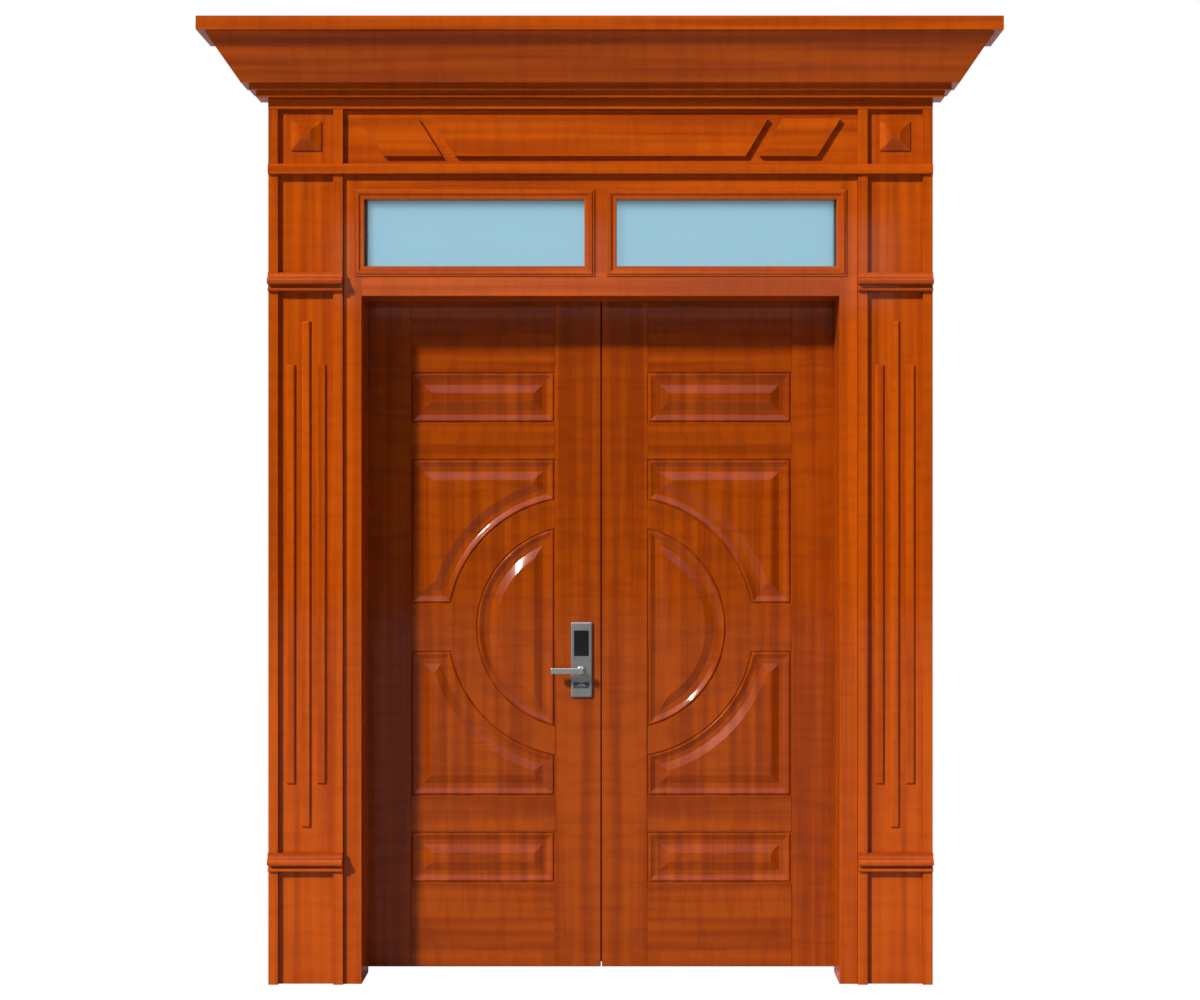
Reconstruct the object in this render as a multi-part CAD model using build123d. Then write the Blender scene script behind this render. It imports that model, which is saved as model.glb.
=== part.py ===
"""A double-leaf steel entrance door with its frame, transom lights, pilasters, frieze and cornice.

Millimetres. X runs to the right seen from outside, Y runs into the building and Z runs up. The origin is
on the floor, midway between the leaves, in the plane of the wall's outer face.
"""

from build123d import *
import math
import os

# Overall layout
OPENING_W = 1557.0  # clear width between the jambs
OPENING_H = 2241.0  # floor to the transom bar
JAMB_W = 59.0  # width of a jamb's face
PILASTER_W = 243.0  # width of a pilaster
WALL_T = 200.0  # thickness of the wall that the frame is made for
CASING_D = 62.0  # how far the casing stands out of the wall
JAMB_SETBACK = 14.0  # the jamb's face lies this far behind the pilaster's
REVEAL = 199.0  # from the jamb's face back to the leaf
SHEET = 1.5  # sheet steel of frame, casing and leaves
FACE_GAP = 0.3  # between pieces that move past each other face to face

# Leaves
LEAF_T = 50.0
LEAF_FLOOR_GAP = 18.5
STOP_OVERLAP = 12.0  # how far the leaf reaches behind the stop
EDGE_GAP = 3.0  # leaf edge to frame
STOP_GAP = 3.0  # leaf face to stop, filled by the seal
MEETING_GAP = 4.0  # between the two leaves
CHANNEL_W = 40.0  # depth of the edge channels behind the skins

# Pressed panels, measured on one leaf from the meeting line
STILE_IN = 154.0  # seam beside the meeting stile
STILE_OUT = 636.5  # seam beside the hinge stile
PANEL_TOP_Z = (1836.0, 2006.0)
PANEL_FOOT_Z = (298.5, 469.0)
QUARTER_Z = (589.0, 1715.6)  # foot of the lower and head of the upper quarter panel
QUARTER_SPLIT = (1074.0, 1231.0)  # head of the lower and foot of the upper one
CIRCLE_X = 77.0
CIRCLE_Z = 1152.4
HALF_DISC_R = 341.6
CONCAVE_R = 431.0
GROOVE_W = 6.0
GROOVE_D = 4.0
BEAD_RISE = 2.0  # where the bead starts, past the groove
BEAD_TOP_W = 3.0
BEAD_H = 2.0
WELL_RUN = 18.0  # slope from the bead down to the flat
WELL_D = 6.0
WELL_FLAT = 13.0
BEVEL_RUN = 28.0
FIELD_H = 6.0  # height of the panel's middle above the leaf
SEAM_W = 2.4
SEAM_D = 1.4

# Transom lights
TRANSOM_H = 79.0  # height of the transom bar
LIGHT_H = 253.0  # height of the openings over the transom bar
HEAD_H = 63.0
MULLION_W = 69.0
MOULDING_W = 33.0
MOULDING_LAP = 15.0  # lap of the moulding over mullion, bar and head
MOULDING_H = 9.0
GLASS_BACK = 28.0  # from the jamb's face back to the glass
GLASS_T = 6.0
GLASS_EDGE = 3.0
GASKET_T = 2.0
GASKET_W = 8.0
GLAZING_BEAD_D = 20.0
GLAZING_BEAD_W = 16.0
MOULDING_JAMB_LAP = 23.5  # lap of the moulding over the jamb
MOULDING_LEG_T = 3.0
MOULDING_EDGE_H = 5.0
MOULDING_SLOPE_H = 4.0
MOULDING_LIP_H = 2.0
BEAD_EDGE = 5.0

# Casing
STRIP_W = 32.0
FIELD_D = 18.0
FLANGE_W = 20.0
REED_W = 28.0
REED_PITCH = 50.0
REED_H = 9.0
REED_CHAMFER = 4.0
REED_LONG_ENDS = (80.5, 96.0)  # above the base moulding and below the capital
REED_SHORT_ENDS = (222.5, 238.0)
CAPITAL_LIFT = 14.0  # capital above the foot of the transom bar
BASE_MOULD_Z = 369.5
MOULD_H = 60.0
MOULD_OUT = 31.0
BAND_H = 33.0
BAND_OUT = 12.0
BAND_CHAMFER = 5.0
FRIEZE_H = 178.5
FRIEZE_BACK = 19.0
RAISED_H = 18.0
RAISED_ENDS = (26.0, 29.5)  # above the band and below the top rail
RAISED_MID = (473.5, 546.0)  # half-widths of the middle panel at foot and head
RAISED_SIDE_FOOT = (517.0, 705.5)
RAISED_SIDE_HEAD = (593.0, 781.6)
TOP_RAIL_H = 32.5
TOP_RAIL_OUT = 2.0
BOSS_W = 98.0
BOSS_TALL = 95.0
BOSS_EDGE = 6.0
BOSS_H = 24.0
BOSS_FLAT = 32.0
BOSS_LIFT = 93.0  # middle of the boss above the band

# Cornice, as steps out from the front plane
FASCIA_OUT = 199.0
FASCIA_H = 44.5
SOFFIT_OUT = 175.0
BEVEL_OUT = 77.0
BEVEL_H = 144.0
STEP_H = 20.0
STEP_OUT = (54.0, 34.0)
CORNICE_LIP = 15.0
BRACKET_T = 4.0
BRACKET_FOOT = 40.0
BRACKET_X = (350.0, 950.0)
BRACKET_HOLE_LIFT = (10.0, 140.0)  # above the foot of the cornice bevel
BRACKET_HOLE_R = 4.5

# Fixings
LUG_T = 3.0
LUG_W = 40.0
LUG_OUT = 60.0
LUG_IN = 80.0
LUG_HOLE_OUT = 38.0
LUG_HOLE_R = 5.5
LUG_FOOT = 300.0
LUG_DROP = 41.0  # top lug below the foot of the transom bar
CLIP_T = 3.0
CLIP_W = 40.0
CLIP_HOLE_IN = 30.0
CLIP_HOLE_R = 4.0
CLIP_FOOT = 150.0
CLIP_DROP = 146.0  # top clip below the head of the pilaster

# Hinges
HINGE_FOOT = 250.0
HINGE_DROP = 243.0  # top hinge below the head of the leaf
HINGE_H = 120.0
KNUCKLE_R = 7.0
PIN_R = 4.0
PIN_PLAY = 0.05
PIN_HEAD_R = 6.0
PIN_HEAD_T = 3.0
HINGE_LIFT = 8.0  # knuckle axis behind the leaf's inner face
PLATE_T = 3.0
PLATE_W = 32.0
SCREW_HEAD_R = 4.5
SCREW_HEAD_T = 1.8
SCREW_INSET = 20.0

# Lock
LOCK_X = -66.0
LOCK_W = 70.0
LOCK_Z = (920.0, 1170.0)
PLATE_OUT_T = 12.0
PLATE_IN_T = 22.0
PLATE_CHAMFER = 4.0
READER_W = 50.0
READER_Z = (1057.0, 1143.0)
READER_T = 2.0
LEVER_X = -68.0
LEVER_Z = 1010.0
LEVER_L = 100.0
LEVER_H = 20.0
LEVER_T = 14.0
LEVER_OUT = 65.0  # bar's far face from the leaf
LEVER_ROUND = 4.0
LEVER_CHAMFER = 2.0
HUB_R = 15.0
HUB_T = 9.0
NECK_R = 9.0
STUB_R = 8.0
BORE_PLAY = 0.05
CASE_T = 20.0
CASE_D = 95.0
CASE_Z = (938.0, 1050.0)
CASE_WALL = 2.0
FACEPLATE_W = 24.0
FACEPLATE_T = 3.0
FACEPLATE_Z = (905.0, 1080.0)
LATCH_Z = 1010.0
LATCH_H = 20.0
LATCH_T = 12.0
BOLT_L = 50.0
BOLT_IN = 0.5  # how far a drawn bolt lies inside the faceplate's face
BOLT_PLAY = 0.4
DEAD_Z = 962.0
DEAD_H = 24.0
DEAD_T = 14.0
KEY_R = 8.0
KEY_Z = 960.0
KEY_BAND_W = 53.0
KEY_BAND_H = 20.0
KEY_BAND_D = 1.0
COVER_W = 33.0
COVER_T = 2.2
COVER_TALL = 18.0
COVER_ROUND = 5.0
COVER_HOLLOW_R = 30.0
COVER_HOLLOW_RISE = 36.0
COVER_PIN_R = 1.5
COVER_PIN_INSET = 3.0
COVER_PIN_IN = 7.0
KEY_SLOT_W = 2.0
KEY_SLOT_TALL = 9.0
KEY_SLOT_D = 6.0
TURN_R = 9.0
TURN_STUB_R = 6.0
TURN_GRIP_L = 30.0
TURN_GRIP_W = 8.0
TURN_OUT = 17.0
TURN_BASE_T = 5.0
TURN_CHAMFER = 2.0
CELL_R = 5.25
CELL_L = 44.5
CELL_PITCH = 10.8
CELL_GAP = 0.5
BAY_Z = (1052.0, 1144.0)
BAY_D = 18.0
SHUTTER_W = 44.0
SHUTTER_T = 2.5
SHUTTER_LAP = 4.0
RIDGE_W = 20.0
RIDGE_T = 3.0
RIDGE_H = 2.0
RAIL_W = 3.0
RAIL_LIP = 1.5
RAIL_LIP_T = 1.5
RAIL_LAP = 5.0
THROUGH_Z = (930.0, 1157.0)
THROUGH_R = 2.5
THROUGH_HEAD_R = 5.0
THROUGH_SEAT_D = 4.0
THROUGH_HEAD_T = 2.5
THROUGH_HEAD_PLAY = 0.5
THROUGH_IN = 8.0

# Passive leaf
STRIKE_W = 24.0
STRIKE_T = 3.0
STRIKE_PLAY = 2.0
FLUSH_PLATE_W = 20.0
FLUSH_PLATE_T = 2.0
FLUSH_L = 200.0
FLUSH_END = 100.0  # from the leaf's end to the flush bolt's body
ROD_R = 5.0
ROD_IN = 12.0  # rod's axis behind the leaf's edge
ROD_SET = 0.5  # rod's end inside the leaf's end
ROD_HOLE_W = 13.0  # square hole over the rod
SLIDER_W = 7.0
SLIDER_H = 14.0
FLUSH_THROW = 18.0
GUIDE_H = 20.0
GUIDE_W = 18.0
GUIDE_WALL = 3.0
KEEPER_T = 2.0
KEEPER_W = 22.0
KEEPER_L = 30.0
POCKET_PLAY = 5.0  # core around the lock
HOLE_PLAY = 1.0
SEAL_W = 8.0
SEAL_LIFT = 10.0  # the meeting seal stops this far above the leaf's foot
SEAL_T = 3.4
STOP_SEAL_T = 2.5
STOP_SEAL_W = 9.0

# Planes worked out from the sizes above
FRONT_Y = -CASING_D
JAMB_Y = FRONT_Y + JAMB_SETBACK
FIELD_Y = FRONT_Y + FIELD_D
LEAF_Y = JAMB_Y + REVEAL
LEAF_BACK = LEAF_Y + LEAF_T
LEAF_MID = LEAF_Y + LEAF_T / 2
HALF_OPEN = OPENING_W / 2
JAMB_X = HALF_OPEN + JAMB_W
CASING_X = JAMB_X + PILASTER_W
PILASTER_X = (JAMB_X + CASING_X) / 2
LEAF_X = HALF_OPEN + STOP_OVERLAP
REBATE_X = LEAF_X + EDGE_GAP
STOP_Y = LEAF_Y - STOP_GAP
LEAF_TOP = OPENING_H + STOP_OVERLAP
REBATE_Z = LEAF_TOP + EDGE_GAP
LIGHT_FOOT = OPENING_H + TRANSOM_H
LIGHT_TOP = LIGHT_FOOT + LIGHT_H
FRAME_H = LIGHT_TOP + HEAD_H
BAND_Z = FRAME_H
FRIEZE_Z = BAND_Z + BAND_H
RAIL_Z = FRIEZE_Z + FRIEZE_H
CORNICE_Z = RAIL_Z + TOP_RAIL_H
GLASS_Y = JAMB_Y + GLASS_BACK
MEET_X = MEETING_GAP / 2
FRIEZE_Y = FRONT_Y + FRIEZE_BACK
BEVEL_Z = CORNICE_Z + 2 * STEP_H
SOFFIT_Z = BEVEL_Z + BEVEL_H
TOP_Z = SOFFIT_Z + FASCIA_H
ROD_X = MEET_X + ROD_IN
CAPITAL_Z = OPENING_H + CAPITAL_LIFT
HINGE_X = (LEAF_X + REBATE_X) / 2
HINGE_Y = LEAF_BACK + HINGE_LIFT


def spread(low, high, count):
    """Evenly spaced places from low to high."""
    return [low + i * (high - low) / (count - 1) for i in range(count)]


HINGE_Z = spread(HINGE_FOOT, LEAF_TOP - HINGE_DROP, 3)
LUG_Z = spread(LUG_FOOT, OPENING_H - LUG_DROP, 3)
CLIP_Z = spread(CLIP_FOOT, BAND_Z - CLIP_DROP, 4)

os.makedirs("parts", exist_ok=True)


def save(name, shape):
    """Write one node, given a solid or a list of separate solids."""
    pieces = shape if isinstance(shape, list) else [shape]
    solids = [solid for piece in pieces for solid in piece.solids()]
    whole = solids[0] if len(solids) == 1 else Compound(children=solids)
    export_step(whole, f"parts/{name}.step")


def block(x0, x1, y0, y1, z0, z1):
    centre = Pos((x0 + x1) / 2, (y0 + y1) / 2, (z0 + z1) / 2)
    return centre * Box(abs(x1 - x0), abs(y1 - y0), abs(z1 - z0))


def bar_z(points, z0, z1):
    """A straight bar along Z from an outline of (x, y) points."""
    wire = Polyline(*[(x, y, z0) for x, y in points], close=True)
    return extrude(make_face(wire), amount=z1 - z0, dir=(0, 0, 1))


def bar_x(points, x0, x1):
    """A straight bar along X from an outline of (y, z) points."""
    wire = Polyline(*[(x0, y, z) for y, z in points], close=True)
    return extrude(make_face(wire), amount=x1 - x0, dir=(1, 0, 0))


def bar_y(points, y0, y1):
    """A straight bar along Y from an outline of (x, z) points."""
    wire = Polyline(*[(x, y0, z) for x, z in points], close=True)
    return extrude(make_face(wire), amount=y1 - y0, dir=(0, 1, 0))


def rod_x(r, x0, x1, y, z):
    return Pos((x0 + x1) / 2, y, z) * Rot(0, 90, 0) * Cylinder(r, abs(x1 - x0))


def rod_y(r, y0, y1, x, z):
    return Pos(x, (y0 + y1) / 2, z) * Rot(90, 0, 0) * Cylinder(r, abs(y1 - y0))


def rod_z(r, z0, z1, x, y):
    return Pos(x, y, (z0 + z1) / 2) * Cylinder(r, abs(z1 - z0))


def offset_points(points, wall, closed):
    """The same path moved to its left by one wall, mitred at each fold."""
    count = len(points)
    legs = count if closed else count - 1
    ways = []
    for i in range(legs):
        (ax, ay), (bx, by) = points[i], points[(i + 1) % count]
        size = math.hypot(bx - ax, by - ay)
        ways.append((-(by - ay) / size, (bx - ax) / size))
    moved = []
    for i, (px, py) in enumerate(points):
        before = ways[i - 1] if closed or i > 0 else ways[0]
        after = ways[i] if closed or i < legs else ways[-1]
        share = wall / (1 + before[0] * after[0] + before[1] * after[1])
        moved.append((px + share * (before[0] + after[0]), py + share * (before[1] + after[1])))
    return moved


def folded(points, wall=SHEET):
    """Outline of an open folded sheet, whose outer face runs through the points."""
    return points + offset_points(points, wall, False)[::-1]


def inset(points, wall=SHEET):
    """A closed outline moved inwards by one wall."""
    ends = zip(points, points[1:] + points[:1])
    turned = sum(ax * by - bx * ay for (ax, ay), (bx, by) in ends) > 0
    return offset_points(points if turned else points[::-1], wall, True)


def tube(make, points, a, b):
    """A closed hollow section along one axis."""
    return make(points, a, b) - make(inset(points), a, b)


def other_side(shape):
    return mirror(shape, about=Plane.YZ)


def pair(shape):
    """A piece and its mirror image on the other side of the door."""
    return [shape, other_side(shape)]


# Jambs, transom bar, head and mullion: closed folded sections. A jamb is a deep reveal tube with a
# narrower tube welded behind it, and the step between the two is the stop that the leaf closes against.
def make_jamb():
    reveal = [(HALF_OPEN, JAMB_Y), (JAMB_X, JAMB_Y), (JAMB_X, STOP_Y), (HALF_OPEN, STOP_Y)]
    rear = [(REBATE_X, STOP_Y), (JAMB_X, STOP_Y), (JAMB_X, LEAF_BACK), (REBATE_X, LEAF_BACK)]
    return [tube(bar_z, section, 0, FRAME_H) for section in (reveal, rear)]


def rod_hole(z0, z1):
    """The square hole that the upper flush bolt enters."""
    half = ROD_HOLE_W / 2
    return block(ROD_X - half, ROD_X + half, LEAF_MID - half, LEAF_MID + half, z0, z1)


def make_transom_bar():
    front = [(JAMB_Y, OPENING_H), (STOP_Y, OPENING_H), (STOP_Y, LIGHT_FOOT), (JAMB_Y, LIGHT_FOOT)]
    rear = [(STOP_Y, REBATE_Z), (LEAF_BACK, REBATE_Z), (LEAF_BACK, LIGHT_FOOT), (STOP_Y, LIGHT_FOOT)]
    front_tube = tube(bar_x, front, -HALF_OPEN, HALF_OPEN)
    rear_tube = tube(bar_x, rear, -HALF_OPEN, HALF_OPEN)
    return [front_tube, rear_tube - rod_hole(REBATE_Z - SHEET, REBATE_Z + 2 * SHEET)]


def make_rect_tube(x0, x1, z0, z1, along_x):
    if along_x:
        section = [(JAMB_Y, z0), (LEAF_BACK, z0), (LEAF_BACK, z1), (JAMB_Y, z1)]
        return tube(bar_x, section, x0, x1)
    section = [(x0, JAMB_Y), (x1, JAMB_Y), (x1, LEAF_BACK), (x0, LEAF_BACK)]
    return tube(bar_z, section, z0, z1)


jamb = make_jamb()
save("jamb_right", jamb)
save("jamb_left", [other_side(piece) for piece in jamb])
save("transom_bar", make_transom_bar())
save("frame_head", make_rect_tube(-HALF_OPEN, HALF_OPEN, LIGHT_TOP, FRAME_H, True))
save("mullion", make_rect_tube(-MULLION_W / 2, MULLION_W / 2, LIGHT_FOOT, LIGHT_TOP, False))

# Transom lights: mitred mouldings outside, panes between gaskets, mitred beads inside
WINDOW_X = (MULLION_W / 2 - MOULDING_LAP, HALF_OPEN + MOULDING_JAMB_LAP)
WINDOW_Z = (LIGHT_FOOT - MOULDING_LAP, LIGHT_TOP + MOULDING_LAP)
MOULDING_SECTION = [
    (0, 0),
    (0, MOULDING_EDGE_H),
    (5, MOULDING_EDGE_H),
    (8, MOULDING_H),
    (15, MOULDING_H),
    (20, MOULDING_SLOPE_H),
    (31, MOULDING_SLOPE_H),
    (MOULDING_W, MOULDING_LIP_H),
    (MOULDING_W, -(GLASS_BACK - GASKET_T)),
    (MOULDING_W - MOULDING_LEG_T, -(GLASS_BACK - GASKET_T)),
    (MOULDING_W - MOULDING_LEG_T, 0),
]
BEAD_SECTION = [
    (0, 0),
    (0, -GLAZING_BEAD_D),
    (GLAZING_BEAD_W - BEAD_EDGE, -GLAZING_BEAD_D),
    (GLAZING_BEAD_W, -GLAZING_BEAD_D / 2),
    (GLAZING_BEAD_W, 0),
]


def mitred_frame(section, x0, x1, z0, z1, y, depth):
    """Four bars round an opening. The section gives (inward, forward) from its outer edge at plane y."""
    wide, tall = x1 - x0, z1 - z0
    bars = []
    for turn in range(4):
        length, reach = (wide, tall) if turn % 2 == 0 else (tall, wide)
        foot = -reach / 2
        bar = bar_x([(y - out, foot + inward) for inward, out in section], -length / 2, length / 2)
        trim = [
            (-length / 2, foot),
            (length / 2, foot),
            (length / 2 - depth, foot + depth),
            (depth - length / 2, foot + depth),
        ]
        bar = bar & bar_y(trim, y - 2 * depth, y + 2 * depth)
        bars.append(Pos((x0 + x1) / 2, 0, (z0 + z1) / 2) * Rot(0, 90 * turn, 0) * bar)
    return bars


def ring(x0, x1, z0, z1, y0, y1, width):
    outer = block(x0, x1, y0, y1, z0, z1)
    return outer - block(x0 + width, x1 - width, y0, y1, z0 + width, z1 - width)


window = mitred_frame(MOULDING_SECTION, *WINDOW_X, *WINDOW_Z, JAMB_Y, MOULDING_W)
save("window_moulding_right", window)
save("window_moulding_left", [other_side(bar) for bar in window])

pane_x = (MULLION_W / 2 + GLASS_EDGE, HALF_OPEN - GLASS_EDGE)
pane_z = (LIGHT_FOOT + GLASS_EDGE, LIGHT_TOP - GLASS_EDGE)
save("window_glass", pair(block(*pane_x, GLASS_Y, GLASS_Y + GLASS_T, *pane_z)))

leg_x = (WINDOW_X[0] + MOULDING_W - GASKET_W, WINDOW_X[1] - MOULDING_W + GASKET_W)
leg_z = (WINDOW_Z[0] + MOULDING_W - GASKET_W, WINDOW_Z[1] - MOULDING_W + GASKET_W)
front_ring = ring(*leg_x, *leg_z, GLASS_Y - GASKET_T, GLASS_Y, GASKET_W)
pane_back = GLASS_Y + GLASS_T
back_ring = ring(*pane_x, *pane_z, pane_back, pane_back + GASKET_T, GASKET_W)
save("window_gaskets", pair(front_ring) + pair(back_ring))

bead_x = (MULLION_W / 2, HALF_OPEN)
bead_z = (LIGHT_FOOT, LIGHT_TOP)
beads = mitred_frame(BEAD_SECTION, *bead_x, *bead_z, pane_back + GASKET_T, GLAZING_BEAD_W)
save("window_beads", beads + [other_side(bar) for bar in beads])


# Pilasters and corner blocks: one folded section with two strips and a sunk field
def strip_section():
    inner, outer = JAMB_X, CASING_X
    return folded(
        [
            (inner + FLANGE_W, 0),
            (inner, 0),
            (inner, FRONT_Y),
            (inner + STRIP_W, FRONT_Y),
            (inner + STRIP_W, FIELD_Y),
            (outer - STRIP_W, FIELD_Y),
            (outer - STRIP_W, FRONT_Y),
            (outer, FRONT_Y),
            (outer, 0),
            (outer - FLANGE_W, 0),
        ]
    )


def reed(x, z0, z1):
    """A pressed bar on the field, chamfered along its front edges and hollow behind."""
    body = block(x - REED_W / 2, x + REED_W / 2, FIELD_Y - REED_H, FIELD_Y, z0, z1)
    body = chamfer(body.faces().sort_by(Axis.Y)[0].edges(), REED_CHAMFER)
    rim = REED_CHAMFER + SHEET
    half = REED_W / 2 - rim
    return body - block(x - half, x + half, FIELD_Y - REED_H + SHEET, FIELD_Y, z0 + rim, z1 - rim)


pilaster = bar_z(strip_section(), 0, BAND_Z)
save("pilaster_right", pilaster)
save("pilaster_left", other_side(pilaster))
save("corner_blocks", pair(bar_z(strip_section(), FRIEZE_Z, RAIL_Z)))

def reed_ends(ends):
    return BASE_MOULD_Z + MOULD_H + ends[0], CAPITAL_Z - ends[1]


reeds = [reed(PILASTER_X, *reed_ends(REED_LONG_ENDS))]
reeds += [reed(PILASTER_X + side * REED_PITCH, *reed_ends(REED_SHORT_ENDS)) for side in (-1, 1)]
save("reeds", reeds + [other_side(bar) for bar in reeds])


# Outline of a capital or base moulding as (out, up) from its lower back edge, with three points to an arc:
# a small roll, a dark recess, a large roll, a hollow above it and a flat top
MOULD_PATH = [
    [(0, 0), (12, 0)],
    [(12, 0), (14, 5), (12, 10)],
    [(12, 10), (4, 10)],
    [(4, 10), (4, 22)],
    [(4, 22), (MOULD_OUT - 3, 22)],
    [(MOULD_OUT - 3, 22), (MOULD_OUT, 31), (MOULD_OUT - 3, 40)],
    [(MOULD_OUT - 3, 40), (17, 46), (13, MOULD_H - 4)],
    [(13, MOULD_H - 4), (13, MOULD_H)],
    [(13, MOULD_H), (0, MOULD_H)],
    [(0, MOULD_H), (0, 0)],
]


def band_moulding(z):
    edges = []
    for step in MOULD_PATH:
        places = [(JAMB_X, FRONT_Y - out, z + up) for out, up in step]
        edges.append(Line(*places) if len(places) == 2 else ThreePointArc(*places))
    bar = extrude(make_face(edges), amount=PILASTER_W, dir=(1, 0, 0))
    tongue_x = (JAMB_X + STRIP_W, CASING_X - STRIP_W)
    return bar + block(*tongue_x, FRONT_Y, FIELD_Y, z, z + MOULD_H)


mouldings = [band_moulding(CAPITAL_Z), band_moulding(BASE_MOULD_Z)]
save("pilaster_mouldings_right", mouldings)
save("pilaster_mouldings_left", [other_side(bar) for bar in mouldings])


def make_boss():
    """A square block whose four slopes run up to a small flat."""
    flat_half = BOSS_FLAT / 2
    boss_z = FRIEZE_Z + BOSS_LIFT

    def rim(half_w, half_h, y):
        corners = [(-half_w, -half_h), (half_w, -half_h), (half_w, half_h), (-half_w, half_h)]
        return make_face(Polyline(*[(PILASTER_X + a, y, boss_z + b) for a, b in corners], close=True))

    half_w, half_h = BOSS_W / 2, BOSS_TALL / 2
    foot = block(
        PILASTER_X - half_w, PILASTER_X + half_w, FIELD_Y - BOSS_EDGE, FIELD_Y, boss_z - half_h, boss_z + half_h
    )
    slopes = [rim(half_w, half_h, FIELD_Y - BOSS_EDGE), rim(flat_half, flat_half, FIELD_Y - BOSS_H)]
    return foot + loft(slopes, ruled=True)


save("corner_bosses", pair(make_boss()))


# Band, frieze and top rail
def make_band():
    front = FRONT_Y - BAND_OUT
    top = BAND_Z + BAND_H
    section = [
        (0, BAND_Z),
        (0, top),
        (front + BAND_CHAMFER, top),
        (front, top - BAND_CHAMFER),
        (front, BAND_Z),
    ]
    return tube(bar_x, section, -CASING_X, CASING_X)


def make_frieze():
    """A folded tray, open towards the wall."""
    tray = block(-JAMB_X, JAMB_X, FRIEZE_Y, 0, FRIEZE_Z, RAIL_Z)
    hollow = block(SHEET - JAMB_X, JAMB_X - SHEET, FRIEZE_Y + SHEET, 0, FRIEZE_Z + SHEET, RAIL_Z - SHEET)
    return tray - hollow


def raised(corners):
    """A pressed shell standing on the frieze, open behind."""
    front = FRIEZE_Y - RAISED_H
    shell = bar_y(corners, front, FRIEZE_Y)
    return shell - bar_y(inset(corners), front + SHEET, FRIEZE_Y)


def make_raised():
    foot, head = FRIEZE_Z + RAISED_ENDS[0], RAIL_Z - RAISED_ENDS[1]
    middle = [(-RAISED_MID[0], foot), (RAISED_MID[0], foot), (RAISED_MID[1], head), (-RAISED_MID[1], head)]
    side = [
        (RAISED_SIDE_FOOT[0], foot),
        (RAISED_SIDE_FOOT[1], foot),
        (RAISED_SIDE_HEAD[1], head),
        (RAISED_SIDE_HEAD[0], head),
    ]
    return [raised(middle)] + pair(raised(side))


def make_top_rail():
    front = FRONT_Y - TOP_RAIL_OUT
    section = [(front, RAIL_Z), (0, RAIL_Z), (0, CORNICE_Z), (front, CORNICE_Z)]
    return tube(bar_x, section, -CASING_X, CASING_X)


save("band", make_band())
save("frieze_panel", make_frieze())
save("frieze_raised_panels", make_raised())
save("top_rail", make_top_rail())

# Cornice: folded sheet with mitred returns, a top cover and brackets
CORNICE_STEPS = [
    (FASCIA_OUT - CORNICE_LIP, TOP_Z),
    (FASCIA_OUT, TOP_Z),
    (FASCIA_OUT, SOFFIT_Z),
    (SOFFIT_OUT, SOFFIT_Z),
    (BEVEL_OUT, BEVEL_Z),
    (STEP_OUT[0], BEVEL_Z),
    (STEP_OUT[0], BEVEL_Z - STEP_H),
    (STEP_OUT[1], BEVEL_Z - STEP_H),
    (STEP_OUT[1], CORNICE_Z),
    (-FLANGE_W, CORNICE_Z),
]
CORNICE_SECTION = folded([(FRONT_Y - out, z) for out, z in CORNICE_STEPS])


def mitre_zone():
    """All that lies outside the vertical mitre plane of the right corner."""
    reach = 2 * FASCIA_OUT
    corner = [
        (CASING_X + reach, FRONT_Y - reach),
        (CASING_X + 2 * reach, FRONT_Y - reach),
        (CASING_X + 2 * reach, FRONT_Y + reach),
        (CASING_X - reach, FRONT_Y + reach),
    ]
    return bar_z(corner, CORNICE_Z - STEP_H, TOP_Z + STEP_H)


def make_cornice_front():
    half = CASING_X + FASCIA_OUT
    bar = bar_x(CORNICE_SECTION, -half, half)
    zone = mitre_zone()
    return bar - zone - other_side(zone)


def make_cornice_return():
    section = [(CASING_X - (y - FRONT_Y), z) for y, z in CORNICE_SECTION]
    return bar_y(section, FRONT_Y - FASCIA_OUT, 0) & mitre_zone()


def make_cornice_top():
    edge = FASCIA_OUT - SHEET
    return block(-CASING_X - edge, CASING_X + edge, FRONT_Y - edge, 0, TOP_Z - 2 * SHEET, TOP_Z - SHEET)


def make_bracket(x):
    """A gusset that fits inside the cornice, welded to a foot on the wall."""
    inside = offset_points([(FRONT_Y - out, z) for out, z in CORNICE_STEPS], SHEET, False)
    high = TOP_Z - 2 * SHEET
    low = CORNICE_Z + SHEET
    rim = [(-BRACKET_T, high), (inside[1][0], high)] + inside[2:-1] + [(-BRACKET_T, low)]
    plate = bar_x(rim, x - BRACKET_T / 2, x + BRACKET_T / 2)
    bracket = plate + block(x - BRACKET_FOOT / 2, x + BRACKET_FOOT / 2, -BRACKET_T, 0, low, high)
    offset = BRACKET_FOOT / 4 + BRACKET_T / 4
    for lift in BRACKET_HOLE_LIFT:
        bracket -= rod_y(BRACKET_HOLE_R, -2 * BRACKET_T, BRACKET_T, x + offset, BEVEL_Z + lift)
    return bracket


save("cornice_front", make_cornice_front())
save("cornice_returns", pair(make_cornice_return()))
save("cornice_top", make_cornice_top())
save("cornice_brackets", [piece for x in BRACKET_X for piece in pair(make_bracket(x))])


# Wall lugs on the jambs and clips inside the pilasters
def make_lug(z):
    half = LUG_W / 2
    section = [
        (JAMB_X, LEAF_BACK - LUG_IN),
        (JAMB_X, WALL_T + LUG_T),
        (JAMB_X + LUG_OUT, WALL_T + LUG_T),
        (JAMB_X + LUG_OUT, WALL_T),
        (JAMB_X + LUG_T, WALL_T),
        (JAMB_X + LUG_T, LEAF_BACK - LUG_IN),
    ]
    lug = bar_z(section, z - half, z + half)
    return lug - rod_y(LUG_HOLE_R, WALL_T - LUG_T, WALL_T + 2 * LUG_T, JAMB_X + LUG_HOLE_OUT, z)


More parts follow.
